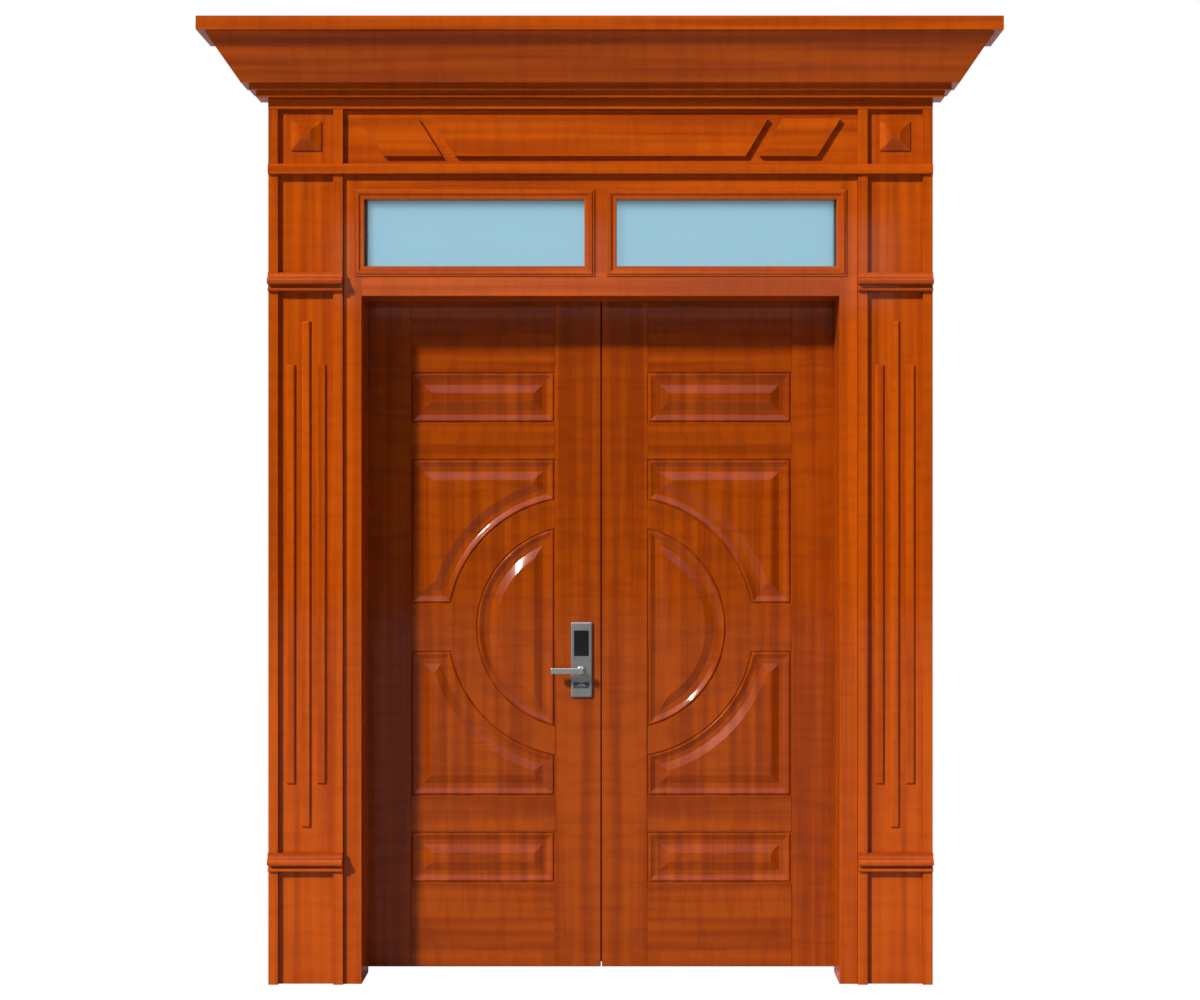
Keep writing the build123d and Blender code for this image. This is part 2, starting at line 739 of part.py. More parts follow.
def make_clip(z):
    half = CLIP_W / 2
    inner = JAMB_X + SHEET
    back = -SHEET
    section = [
        (inner, FIELD_Y + SHEET),
        (inner, back),
        (inner + CLIP_W, back),
        (inner + CLIP_W, back - CLIP_T),
        (inner + CLIP_T, back - CLIP_T),
        (inner + CLIP_T, FIELD_Y + SHEET),
    ]
    clip = bar_z(section, z - half, z + half)
    return clip - rod_y(CLIP_HOLE_R, back - 2 * CLIP_T, 0, JAMB_X + CLIP_HOLE_IN, z)


save("wall_lugs", [piece for z in LUG_Z for piece in pair(make_lug(z))])
save("casing_clips", [piece for z in CLIP_Z for piece in pair(make_clip(z))])


# Door stop seal and the keeper plate over the passive leaf
def make_stop_seal():
    """A seal strip up both jambs and along the transom bar."""
    y0, y1 = STOP_Y, STOP_Y + STOP_SEAL_T
    side = block(HALF_OPEN, HALF_OPEN + STOP_SEAL_W, y0, y1, 0, OPENING_H)
    head = block(-HALF_OPEN, HALF_OPEN, y0, y1, OPENING_H, OPENING_H + STOP_SEAL_W)
    return pair(side) + [head]


def make_keeper():
    x0, x1 = ROD_X - KEEPER_W / 2, ROD_X + KEEPER_W / 2
    y0, y1 = LEAF_MID - KEEPER_L / 2, LEAF_MID + KEEPER_L / 2
    plate = block(x0, x1, y0, y1, REBATE_Z - KEEPER_T, REBATE_Z)
    return plate - rod_hole(REBATE_Z - 2 * KEEPER_T, REBATE_Z + KEEPER_T)


save("stop_seal", make_stop_seal())
save("bolt_keeper", make_keeper())


# Pressed leaf skins
def rect_panel(z_span):
    """Outline of a rectangular panel drawn in by d, on plane y."""

    def outline(d, y):
        x0, x1 = STILE_IN + d, STILE_OUT - d
        z0, z1 = z_span[0] + d, z_span[1] - d
        return make_face(Polyline((x0, y, z0), (x1, y, z0), (x1, y, z1), (x0, y, z1), close=True))

    return outline


def quarter_panel(side):
    """A quarter panel with one concave corner, above (1) or below (-1) the half disc."""

    def outline(d, y):
        x0, x1 = STILE_IN + d, STILE_OUT - d
        near = QUARTER_SPLIT[1] + d if side > 0 else QUARTER_SPLIT[0] - d
        far = QUARTER_Z[1] - d if side > 0 else QUARTER_Z[0] + d
        r = CONCAVE_R + d
        arc_z = CIRCLE_Z + side * math.sqrt(r**2 - (x0 - CIRCLE_X) ** 2)
        arc_x = CIRCLE_X + math.sqrt(r**2 - (near - CIRCLE_Z) ** 2)
        turn = (math.atan2(arc_z - CIRCLE_Z, x0 - CIRCLE_X) + math.atan2(near - CIRCLE_Z, arc_x - CIRCLE_X)) / 2
        middle = (CIRCLE_X + r * math.cos(turn), y, CIRCLE_Z + r * math.sin(turn))
        edges = [
            Line((x0, y, arc_z), (x0, y, far)),
            Line((x0, y, far), (x1, y, far)),
            Line((x1, y, far), (x1, y, near)),
            Line((x1, y, near), (arc_x, y, near)),
            ThreePointArc((arc_x, y, near), middle, (x0, y, arc_z)),
        ]
        return make_face(edges)

    return outline


def half_disc(d, y):
    """Outline of the half-disc panel drawn in by d, on plane y."""
    x0 = STILE_IN + d
    r = HALF_DISC_R - d
    rise = math.sqrt(r**2 - (x0 - CIRCLE_X) ** 2)
    foot, head = (x0, y, CIRCLE_Z - rise), (x0, y, CIRCLE_Z + rise)
    return make_face([Line(head, foot), ThreePointArc(foot, (CIRCLE_X + r, y, CIRCLE_Z), head)])


PANELS = [
    rect_panel(PANEL_TOP_Z),
    quarter_panel(1),
    half_disc,
    quarter_panel(-1),
    rect_panel(PANEL_FOOT_Z),
]


def relief():
    """A slab whose outer face carries grooves, beads, wells and raised fields of the five panels."""
    back = LEAF_Y + 2 * WELL_D
    slab = block(MEET_X, LEAF_X, LEAF_Y, back, LEAF_FLOOR_GAP, LEAF_TOP)
    bead = GROOVE_W + BEAD_RISE
    well = bead + BEAD_TOP_W + WELL_RUN
    bevel = well + WELL_FLAT
    for outline in PANELS:
        level = {0: LEAF_Y, 1: LEAF_Y + GROOVE_D, 2: LEAF_Y - BEAD_H, 3: LEAF_Y + WELL_D, 4: LEAF_Y - FIELD_H}
        slab -= loft([outline(0, level[0]), outline(GROOVE_W / 2, level[1])], ruled=True)
        slab += loft([outline(GROOVE_W / 2, level[1]), outline(bead, level[2])], ruled=True)
        slab -= loft([outline(bead + BEAD_TOP_W, level[2]), outline(well, level[3])], ruled=True)
        slab += loft([outline(bevel, level[3]), outline(bevel + BEVEL_RUN, level[4])], ruled=True)
    for x in (STILE_IN, STILE_OUT):
        half = SEAM_W / 2
        slab -= bar_z([(x - half, LEAF_Y), (x + half, LEAF_Y), (x, LEAF_Y + SEAM_D)], LEAF_FLOOR_GAP, LEAF_TOP)
    return slab


def make_skin():
    """The relief's face, one sheet thick."""
    shape = relief()
    return shape - Pos(0, SHEET, 0) * shape


def to_inner(shape):
    """The same pressing turned to the leaf's inner face."""
    return mirror(shape, about=Plane(origin=(0, LEAF_MID, 0), z_dir=(0, 1, 0)))


def make_core():
    deep = WELL_D + SHEET
    x0, x1 = MEET_X + CHANNEL_W, LEAF_X - CHANNEL_W
    z0, z1 = LEAF_FLOOR_GAP + CHANNEL_W, LEAF_TOP - CHANNEL_W
    return block(x0, x1, LEAF_Y + deep, LEAF_BACK - deep, z0, z1)


def make_channel(along_z, edge, side, a, b):
    """A folded channel along one edge of the leaf, its web outwards."""
    y0, y1 = LEAF_Y + SHEET, LEAF_BACK - SHEET
    inner = edge - side * CHANNEL_W
    if along_z:
        points = [(inner, y0), (edge, y0), (edge, y1), (inner, y1)]
        points = points if side > 0 else points[::-1]
        return bar_z(folded(points), a, b)
    points = [(y0, inner), (y0, edge), (y1, edge), (y1, inner)]
    points = points if side < 0 else points[::-1]
    return bar_x(folded(points), a, b)


def make_channels():
    """Stile channels run full height. Rail channels fit between them, notched behind the seams."""
    stiles = [
        make_channel(True, LEAF_X, 1, LEAF_FLOOR_GAP, LEAF_TOP),
        make_channel(True, MEET_X, -1, LEAF_FLOOR_GAP, LEAF_TOP),
    ]
    x0, x1 = MEET_X + CHANNEL_W, LEAF_X - CHANNEL_W
    rails = []
    for edge, side in ((LEAF_TOP, 1), (LEAF_FLOOR_GAP, -1)):
        rail = make_channel(False, edge, side, x0, x1)
        for x in (STILE_IN, STILE_OUT):
            for y in (LEAF_Y, LEAF_BACK - 2 * SHEET):
                rail -= block(x - SEAM_W, x + SEAM_W, y, y + 2 * SHEET, LEAF_FLOOR_GAP, LEAF_TOP)
        rails.append(rail)
    return stiles + rails


# Hinges: plates on the frame's and the leaf's inner faces, three knuckles on one pin
def hinge_plate(z, spans, side):
    """A plate on the inner face with a knuckle on each span of height.

    Side is 1 towards the jamb and -1 towards the leaf. The plate stays clear of the other plate's knuckles.
    """
    clear = HINGE_X + side * (KNUCKLE_R + 1)
    y0, y1 = LEAF_BACK, LEAF_BACK + PLATE_T
    plate = block(clear, clear + side * PLATE_W, y0, y1, z - HINGE_H / 2, z + HINGE_H / 2)
    for low, high in spans:
        plate += block(HINGE_X, clear, HINGE_Y - KNUCKLE_R, y1, low, high)
        plate += rod_z(KNUCKLE_R, low, high, HINGE_X, HINGE_Y)
    rise = HINGE_H / 2 - SCREW_INSET
    for step in (-rise, 0, rise):
        plate -= rod_y(SCREW_HEAD_R, y1 - SCREW_HEAD_T, y1 + 1, clear + side * SCREW_INSET, z + step)
    return plate - rod_z(PIN_R + PIN_PLAY, z - HINGE_H, z + HINGE_H, HINGE_X, HINGE_Y)


def make_frame_hinge(z):
    sixth, half = HINGE_H / 6, HINGE_H / 2
    return hinge_plate(z, [(z + sixth, z + half), (z - half, z - sixth)], 1)


def make_leaf_hinge(z):
    rise = HINGE_H / 6 - FACE_GAP
    return hinge_plate(z, [(z - rise, z + rise)], -1)


def make_pin(z):
    top = z + HINGE_H / 2
    foot = z - HINGE_H / 2
    pin = rod_z(PIN_R, foot, top, HINGE_X, HINGE_Y)
    pin += rod_z(PIN_HEAD_R, top, top + PIN_HEAD_T, HINGE_X, HINGE_Y)
    return pin + rod_z(PIN_HEAD_R, foot - PIN_HEAD_T, foot, HINGE_X, HINGE_Y)


leaf_hinges = [make_leaf_hinge(z) for z in HINGE_Z]
save("hinge_plates_frame", [piece for z in HINGE_Z for piece in pair(make_frame_hinge(z))])
save("hinge_pins", [piece for z in HINGE_Z for piece in pair(make_pin(z))])
save("hinge_plates_right", leaf_hinges)
save("hinge_plates_left", [other_side(hinge) for hinge in leaf_hinges])

# The leaves
skin = make_skin()
core = make_core()
channels = make_channels()


def lock_cuts(face_y, back_y):
    """Holes through a skin for stubs, key cylinder and through screws."""
    cuts = [
        rod_y(STUB_R + 2 * HOLE_PLAY, face_y, back_y, LEVER_X, LEVER_Z),
        rod_y(KEY_R + HOLE_PLAY, face_y, back_y, LOCK_X, KEY_Z),
    ]
    cuts += [rod_y(THROUGH_R + HOLE_PLAY, face_y, back_y, LOCK_X, z) for z in THROUGH_Z]
    return cuts


def cut_all(shape, tools):
    for tool in tools:
        shape -= tool
    return shape


skin_out_left = cut_all(other_side(skin), lock_cuts(LEAF_Y - PLATE_OUT_T, LEAF_MID))
skin_in_left = cut_all(other_side(to_inner(skin)), lock_cuts(LEAF_MID, LEAF_BACK + PLATE_OUT_T))
save("skin_outer_left", skin_out_left)
save("skin_inner_left", skin_in_left)
save("skin_outer_right", skin)
save("skin_inner_right", to_inner(skin))

# The left core leaves room for the lock, and the left stile channel for its faceplate
lock_room = (LOCK_Z[0] - POCKET_PLAY, LOCK_Z[1] + POCKET_PLAY)
case_room = (FACEPLATE_Z[0] - POCKET_PLAY, CASE_Z[1] + POCKET_PLAY)
case_back = -MEET_X - FACEPLATE_T - CASE_D
pocket = block(LOCK_X - LOCK_W / 2, -MEET_X, LEAF_Y, LEAF_BACK, *lock_room)
pocket += block(case_back - POCKET_PLAY, -MEET_X, LEAF_Y, LEAF_BACK, *case_room)
save("core_left", other_side(core) - pocket)
save("core_right", core)

face_cut = block(
    -MEET_X - 2 * SHEET,
    -MEET_X + 1,
    LEAF_MID - FACEPLATE_W / 2,
    LEAF_MID + FACEPLATE_W / 2,
    *FACEPLATE_Z,
)
left_channels = [other_side(piece) for piece in channels]
left_channels[1] = left_channels[1] - face_cut
save("channels_left", left_channels)


# Lock case with its faceplate, and the two bolts inside it
def bolt_bar(z, tall, thick, slanted):
    """A bolt drawn back just inside the faceplate. A slanted one has the latch's bevel."""
    x1 = -MEET_X - BOLT_IN
    x0 = x1 - BOLT_L
    y0, y1 = LEAF_MID - thick / 2, LEAF_MID + thick / 2
    nose = thick if slanted else 1
    outline = [(x0, y0), (x1 - nose, y0), (x1, y1 - nose / 4), (x1, y1), (x0, y1)]
    if not slanted:
        outline = [(x0, y0), (x1 - nose, y0), (x1, y0 + nose), (x1, y1 - nose), (x1 - nose, y1), (x0, y1)]
    return bar_z(outline, z - tall / 2, z + tall / 2)


def bolt_hole(z, tall, thick, play, x0, x1):
    y0, y1 = LEAF_MID - thick / 2 - play, LEAF_MID + thick / 2 + play
    return block(x0, x1, y0, y1, z - tall / 2 - play, z + tall / 2 + play)


def make_lock_case():
    face = -MEET_X
    inner = face - FACEPLATE_T
    y0, y1 = LEAF_MID - CASE_T / 2, LEAF_MID + CASE_T / 2
    plate = block(inner, face, LEAF_MID - FACEPLATE_W / 2, LEAF_MID + FACEPLATE_W / 2, *FACEPLATE_Z)
    case = block(case_back, inner, y0, y1, *CASE_Z)
    hollow = block(
        case_back + CASE_WALL, inner, y0 + CASE_WALL, y1 - CASE_WALL, CASE_Z[0] + CASE_WALL, CASE_Z[1] - CASE_WALL
    )
    lock = plate + (case - hollow)
    lock -= bolt_hole(LATCH_Z, LATCH_H, LATCH_T, BOLT_PLAY, inner - 1, face + 1)
    lock -= bolt_hole(DEAD_Z, DEAD_H, DEAD_T, BOLT_PLAY, inner - 1, face + 1)
    lock -= rod_y(STUB_R + HOLE_PLAY, y0 - 1, y1 + 1, LEVER_X, LEVER_Z)
    lock -= rod_y(KEY_R + HOLE_PLAY, y0 - 1, y1 + 1, LOCK_X, KEY_Z)
    return lock


save("lock_case", make_lock_case())
save("latch_bolt", bolt_bar(LATCH_Z, LATCH_H, LATCH_T, True))
save("dead_bolt", bolt_bar(DEAD_Z, DEAD_H, DEAD_T, False))

# Outer lock plate with reader window, key cylinder and key cover
OUTER_FACE = LEAF_Y - PLATE_OUT_T
INNER_FACE = LEAF_BACK + PLATE_IN_T
COVER_PIN_X = LOCK_X - COVER_W / 2 + COVER_PIN_INSET


def make_plate_outer():
    half = LOCK_W / 2
    plate = block(LOCK_X - half, LOCK_X + half, OUTER_FACE, LEAF_Y, *LOCK_Z)
    front = plate.faces().sort_by(Axis.Y)[0]
    plate = chamfer(front.edges(), PLATE_CHAMFER)
    reader = READER_W / 2
    plate -= block(LOCK_X - reader, LOCK_X + reader, OUTER_FACE - 1, OUTER_FACE + READER_T, *READER_Z)
    band = KEY_BAND_W / 2
    band_z = (KEY_Z - KEY_BAND_H / 2, KEY_Z + KEY_BAND_H / 2)
    plate -= block(LOCK_X - band, LOCK_X + band, OUTER_FACE - 1, OUTER_FACE + KEY_BAND_D, *band_z)
    plate -= rod_y(STUB_R, OUTER_FACE - 1, LEAF_Y + 1, LEVER_X, LEVER_Z)
    plate -= rod_y(KEY_R, OUTER_FACE - 1, LEAF_Y + 1, LOCK_X, KEY_Z)
    plate -= rod_y(COVER_PIN_R + BORE_PLAY, OUTER_FACE - 1, OUTER_FACE + COVER_PIN_IN + HOLE_PLAY, COVER_PIN_X, KEY_Z)
    for z in THROUGH_Z:
        plate -= rod_y(THROUGH_R, LEAF_Y - THROUGH_IN, LEAF_Y + 1, LOCK_X, z)
    return plate


def make_key_cylinder():
    face = OUTER_FACE + KEY_BAND_D
    body = rod_y(KEY_R, face, LEAF_MID - CASE_T / 2 + CASE_WALL, LOCK_X, KEY_Z)
    half, tall = KEY_SLOT_W / 2, KEY_SLOT_TALL / 2
    return body - block(LOCK_X - half, LOCK_X + half, face - 1, face + KEY_SLOT_D, KEY_Z - tall, KEY_Z + tall)


def make_key_cover():
    """A thin cover with a hollowed upper edge, hung on a pin at its left end."""
    half, tall = COVER_W / 2, COVER_TALL / 2
    back = OUTER_FACE - FACE_GAP
    cover = block(LOCK_X - half, LOCK_X + half, back - COVER_T, back, KEY_Z - tall, KEY_Z + tall)
    cover = fillet(cover.edges().filter_by(Axis.Y), COVER_ROUND)
    hollow_z = KEY_Z + COVER_HOLLOW_RISE
    cover -= rod_y(COVER_HOLLOW_R, back - 2 * COVER_T, back + COVER_T, LOCK_X + COVER_PIN_INSET, hollow_z)
    return cover + rod_y(COVER_PIN_R, back - 1, OUTER_FACE + COVER_PIN_IN, COVER_PIN_X, KEY_Z)


reader_half = READER_W / 2 - FACE_GAP
reader_z = (READER_Z[0] + FACE_GAP, READER_Z[1] - FACE_GAP)
save("lock_plate_outer", make_plate_outer())
save(
    "reader_window",
    block(LOCK_X - reader_half, LOCK_X + reader_half, OUTER_FACE - 0.2, OUTER_FACE + READER_T, *reader_z),
)
save("key_cylinder", make_key_cylinder())
save("key_cover", make_key_cover())


# Levers: a hub on the plate, a neck and a flat bar towards the hinge side
def make_lever(plate_face, bar_face, stub_end):
    """The bar's outermost face lies on bar_face, and the stub runs through the plate to stub_end."""
    way = -1 if bar_face < plate_face else 1
    start = plate_face + way * FACE_GAP
    hub = rod_y(HUB_R, start, start + way * HUB_T, LEVER_X, LEVER_Z)
    inner = bar_face - way * LEVER_T
    neck = rod_y(NECK_R, start, inner, LEVER_X, LEVER_Z)
    low, high = LEVER_Z - LEVER_H / 2, LEVER_Z + LEVER_H / 2
    bar = block(LEVER_X - LEVER_L, LEVER_X + NECK_R + 1, inner, bar_face, low, high)
    bar = fillet(bar.edges().filter_by(Axis.Y), LEVER_ROUND)
    bar = chamfer(bar.faces().sort_by(Axis.Y)[0 if way < 0 else -1].edges(), LEVER_CHAMFER)
    stub = rod_y(STUB_R - BORE_PLAY, start, stub_end, LEVER_X, LEVER_Z)
    return hub + neck + bar + stub


case_front = LEAF_MID - CASE_T / 2
case_rear = LEAF_MID + CASE_T / 2
save("lever_outer", make_lever(OUTER_FACE, LEAF_Y - LEVER_OUT, case_front + CASE_WALL + 1))
save("lever_inner", make_lever(INNER_FACE, LEAF_BACK + LEVER_OUT, case_rear - CASE_WALL - 1))


# Inner lock plate with battery bay, shutter rails and screw seats
def make_plate_inner():
    half = LOCK_W / 2
    plate = block(LOCK_X - half, LOCK_X + half, LEAF_BACK, INNER_FACE, *LOCK_Z)
    plate = chamfer(plate.faces().sort_by(Axis.Y)[-1].edges(), PLATE_CHAMFER)
    bay = CELL_PITCH + FACE_GAP
    plate -= block(LOCK_X - bay, LOCK_X + bay, INNER_FACE - BAY_D, INNER_FACE + 1, *BAY_Z)
    rail_x = SHUTTER_W / 2 + FACE_GAP
    rail_top = INNER_FACE + SHUTTER_T + 2 * FACE_GAP
    for side in (-1, 1):
        inner = LOCK_X + side * rail_x
        outer = inner + side * RAIL_W
        lip = inner - side * RAIL_LIP
        z0, z1 = BAY_Z[0] - RAIL_LAP, BAY_Z[1] + RAIL_LAP
        plate += block(inner, outer, INNER_FACE, rail_top, z0, z1)
        plate += block(lip, outer, rail_top, rail_top + RAIL_LIP_T, z0, z1)
    plate -= rod_y(STUB_R, LEAF_BACK - 1, INNER_FACE + 1, LEVER_X, LEVER_Z)
    plate -= rod_y(TURN_STUB_R, LEAF_BACK - 1, INNER_FACE + 1, LOCK_X, KEY_Z)
    for z in THROUGH_Z:
        plate -= rod_y(THROUGH_R, LEAF_BACK - 1, INNER_FACE + 1, LOCK_X, z)
        plate -= rod_y(THROUGH_HEAD_R + THROUGH_HEAD_PLAY, INNER_FACE - THROUGH_SEAT_D, INNER_FACE + 1, LOCK_X, z)
    return plate


def make_thumbturn():
    start = INNER_FACE + FACE_GAP
    turn = rod_y(TURN_R, start, start + TURN_BASE_T, LOCK_X, KEY_Z)
    grip = block(
        LOCK_X - TURN_GRIP_W / 2,
        LOCK_X + TURN_GRIP_W / 2,
        start + TURN_BASE_T,
        start + TURN_OUT,
        KEY_Z - TURN_GRIP_L / 2,
        KEY_Z + TURN_GRIP_L / 2,
    )
    grip = chamfer(grip.faces().sort_by(Axis.Y)[-1].edges(), TURN_CHAMFER)
    stub = rod_y(TURN_STUB_R - BORE_PLAY, case_rear - CASE_WALL - 1, start, LOCK_X, KEY_Z)
    return turn + grip + stub


def make_shutter():
    """The battery bay's sliding cover, with a thumb ridge."""
    y0 = INNER_FACE + FACE_GAP
    half, ridge = SHUTTER_W / 2, RIDGE_W / 2
    low, high = BAY_Z[0] - SHUTTER_LAP, BAY_Z[1] + SHUTTER_LAP
    cover = block(LOCK_X - half, LOCK_X + half, y0, y0 + SHUTTER_T, low, high)
    ridge_z = BAY_Z[0] + SHUTTER_LAP
    return cover + block(LOCK_X - ridge, LOCK_X + ridge, y0, y0 + SHUTTER_T + RIDGE_H, ridge_z, ridge_z + RIDGE_T)


def make_cells():
    """Four dry cells, two side by side and two high."""
    cells = []
    y = INNER_FACE - BAY_D + CELL_R
    for side in (-1, 1):
        for row in (0, 1):
            z0 = BAY_Z[0] + 2 * CELL_GAP + row * (CELL_L + CELL_GAP)
            cells.append(rod_z(CELL_R, z0, z0 + CELL_L, LOCK_X + side * CELL_PITCH / 2, y))
    return cells


def make_through_screw(z):
    head = INNER_FACE - THROUGH_SEAT_D
    screw = rod_y(THROUGH_R, LEAF_Y - THROUGH_IN, head, LOCK_X, z)
    return screw + rod_y(THROUGH_HEAD_R, head, head + THROUGH_HEAD_T, LOCK_X, z)


save("lock_plate_inner", make_plate_inner())
save("thumbturn", make_thumbturn())
save("battery_cover", make_shutter())
save("battery_cells", make_cells())
save("lock_screws", [make_through_screw(z) for z in THROUGH_Z])


# Passive leaf: strike plates, meeting seal and flush bolts
STRIKE_SPLIT_Z = (LATCH_Z + DEAD_Z) / 2


def make_strike(z, tall, thick, low, high):
    """One plate for one bolt, from low to high, let into the leaf's edge."""
    plate = block(MEET_X, MEET_X + STRIKE_T, LEAF_MID - STRIKE_W / 2, LEAF_MID + STRIKE_W / 2, low, high)
    return plate - bolt_hole(z, tall, thick, STRIKE_PLAY, 0, MEET_X + 2 * STRIKE_T)


def make_strikes():
    latch_strike = make_strike(LATCH_Z, LATCH_H, LATCH_T, STRIKE_SPLIT_Z, FACEPLATE_Z[1])
    dead_strike = make_strike(DEAD_Z, DEAD_H, DEAD_T, FACEPLATE_Z[0], STRIKE_SPLIT_Z)
    return [latch_strike, dead_strike]


def make_meeting_seal():
    """A strip in the gap between the leaves, near their inner faces."""
    y1 = LEAF_BACK - 2
    return block(MEET_X - SEAL_T, MEET_X, y1 - SEAL_W, y1, LEAF_FLOOR_GAP + SEAL_LIFT, LEAF_TOP)


def flush_place(top):
    """Foot and head of a flush bolt's body, and the heights of its rod's ends."""
    if top:
        z1 = LEAF_TOP - FLUSH_END
        return z1 - FLUSH_L, z1, z1 - FLUSH_L / 2, LEAF_TOP - ROD_SET
    z0 = LEAF_FLOOR_GAP + FLUSH_END
    return z0, z0 + FLUSH_L, LEAF_FLOOR_GAP + ROD_SET, z0 + FLUSH_L / 2


def make_flush_body(top):
    z0, z1, _, _ = flush_place(top)
    half, guide_half = FLUSH_PLATE_W / 2, GUIDE_W / 2
    plate = block(MEET_X, MEET_X + FLUSH_PLATE_T, LEAF_MID - half, LEAF_MID + half, z0, z1)
    guide_z = z1 - GUIDE_H if top else z0
    guide_x = (MEET_X + FLUSH_PLATE_T, ROD_X + ROD_R + GUIDE_WALL)
    guide = block(*guide_x, LEAF_MID - guide_half, LEAF_MID + guide_half, guide_z, guide_z + GUIDE_H)
    body = plate + guide - rod_z(ROD_R + BORE_PLAY, z0 - 1, z1 + 1, ROD_X, LEAF_MID)
    middle = (z0 + z1) / 2
    travel = FLUSH_THROW + SLIDER_H / 2 + 2
    slot_half = SLIDER_W / 2 + BORE_PLAY * 6
    slot = block(
        MEET_X - 1, MEET_X + 2 * FLUSH_PLATE_T, LEAF_MID - slot_half, LEAF_MID + slot_half, middle - travel, middle + travel
    )
    return body - slot


def make_flush_rod(top):
    """The rod with its thumb slider in the body's slot."""
    _, _, low, high = flush_place(top)
    rod = rod_z(ROD_R, low, high, ROD_X, LEAF_MID)
    middle = low if top else high
    slider_z = (middle - SLIDER_H / 2, middle + SLIDER_H / 2)
    slider = block(MEET_X + 0.5, ROD_X, LEAF_MID - SLIDER_W / 2, LEAF_MID + SLIDER_W / 2, *slider_z)
    return rod + slider


right_channels = list(channels)
for top in (True, False):
    z0, z1, _, _ = flush_place(top)
    half = FLUSH_PLATE_W / 2
    right_channels[1] -= block(0, MEET_X + 2 * SHEET, LEAF_MID - half, LEAF_MID + half, z0, z1)
strike_half = STRIKE_W / 2
right_channels[1] -= block(0, MEET_X + 2 * SHEET, LEAF_MID - strike_half, LEAF_MID + strike_half, *FACEPLATE_Z)
# The passive leaf's meeting stile is welded from two lengths that butt behind the strike plates
low_half = block(-CHANNEL_W, 2 * CHANNEL_W, LEAF_Y, LEAF_BACK, 0, STRIKE_SPLIT_Z)
stile = right_channels.pop(1)
right_channels += [stile & low_half, stile - low_half]
save("channels_right", right_channels)
save("strike_plate", make_strikes())
save("meeting_seal", make_meeting_seal())
save("flush_bolt_bodies", [make_flush_body(True), make_flush_body(False)])
save("flush_bolt_upper", make_flush_rod(True))
save("flush_bolt_lower", make_flush_rod(False))
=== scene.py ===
"""Looks of a double-leaf steel entrance door: lacquered wood-grain steel, glass, lock and hinges.

Metres. X runs to the right seen from outside, Y runs into the building and Z runs up.
"""

import math

import bpy
import numpy as np
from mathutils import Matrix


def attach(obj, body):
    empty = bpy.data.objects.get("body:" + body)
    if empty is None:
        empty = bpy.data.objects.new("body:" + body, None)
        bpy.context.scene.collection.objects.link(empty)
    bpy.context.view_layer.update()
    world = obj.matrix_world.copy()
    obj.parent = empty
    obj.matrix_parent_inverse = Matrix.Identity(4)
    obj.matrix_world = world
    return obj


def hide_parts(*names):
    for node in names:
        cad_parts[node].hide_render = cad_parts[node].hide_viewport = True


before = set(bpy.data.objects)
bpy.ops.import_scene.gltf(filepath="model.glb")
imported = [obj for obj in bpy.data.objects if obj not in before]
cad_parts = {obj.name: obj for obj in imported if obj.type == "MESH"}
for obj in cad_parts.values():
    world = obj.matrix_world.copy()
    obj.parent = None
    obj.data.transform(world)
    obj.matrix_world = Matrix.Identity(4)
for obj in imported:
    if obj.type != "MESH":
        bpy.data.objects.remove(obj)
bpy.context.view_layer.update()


# Jambs, transom bar, head and mullion: folded steel tubes, 1.5 mm, under a printed wood film and lacquer. The
# film goes on before folding, and the corners are welded. A jamb is two tubes, with a step between them that
# stops the leaf
def srgb(r, g, b):
    """A colour written as 0 to 255 sRGB, as linear RGBA."""
    shares = [c / 255 for c in (r, g, b)]
    return tuple(c / 12.92 if c < 0.0404 else ((c + 0.055) / 1.055) ** 2.4 for c in shares) + (1.0,)


class Net:
    """Short calls for building a node tree."""

    def __init__(self, tree):
        self.tree = tree

    def add(self, kind, settings=None, **inputs):
        node = self.tree.nodes.new("ShaderNode" + kind)
        for key, value in (settings or {}).items():
            setattr(node, key, value)
        return self.fill(node, **inputs)

    def fill(self, node, **inputs):
        """Sets or links inputs by name, with _ for a space."""
        for key, value in inputs.items():
            self.put(node.inputs[key.replace("_", " ")], value)
        return node

    def first(self, node, *values):
        """Fills the first inputs in their order and gives the first output."""
        for socket, value in zip(node.inputs, values):
            self.put(socket, value)
        return node.outputs[0]

    def put(self, socket, value):
        if isinstance(value, bpy.types.NodeSocket):
            self.tree.links.new(value, socket)
        else:
            socket.default_value = value

    def math(self, operation, a, b):
        return self.first(self.add("Math", {"operation": operation}), a, b)

    def times(self, a, b):
        return self.math("MULTIPLY", a, b)

    def plus(self, a, b):
        return self.math("ADD", a, b)

    def mix(self, factor, a, b, blend="MIX"):
        node = self.add("Mix", {"data_type": "RGBA", "blend_type": blend})
        for place, value in ((0, factor), (6, a), (7, b)):
            self.put(node.inputs[place], value)
        return node.outputs[2]

    def span(self, value, a, b, c=0.0, d=1.0):
        """Maps a..b to c..d, smoothly and held at both ends."""
        node = self.add("MapRange", {"interpolation_type": "SMOOTHSTEP"})
        return self.first(node, value, a, b, c, d)

    def noise(self, vector, scale, detail=2.0, rough=0.5, warp=0.0):
        node = self.add("TexNoise", Vector=vector, Scale=scale, Detail=detail)
        return self.fill(node, Roughness=rough, Distortion=warp).outputs[0]

    def xyz(self, x, y, z):
        return self.add("CombineXYZ", X=x, Y=y, Z=z).outputs[0]


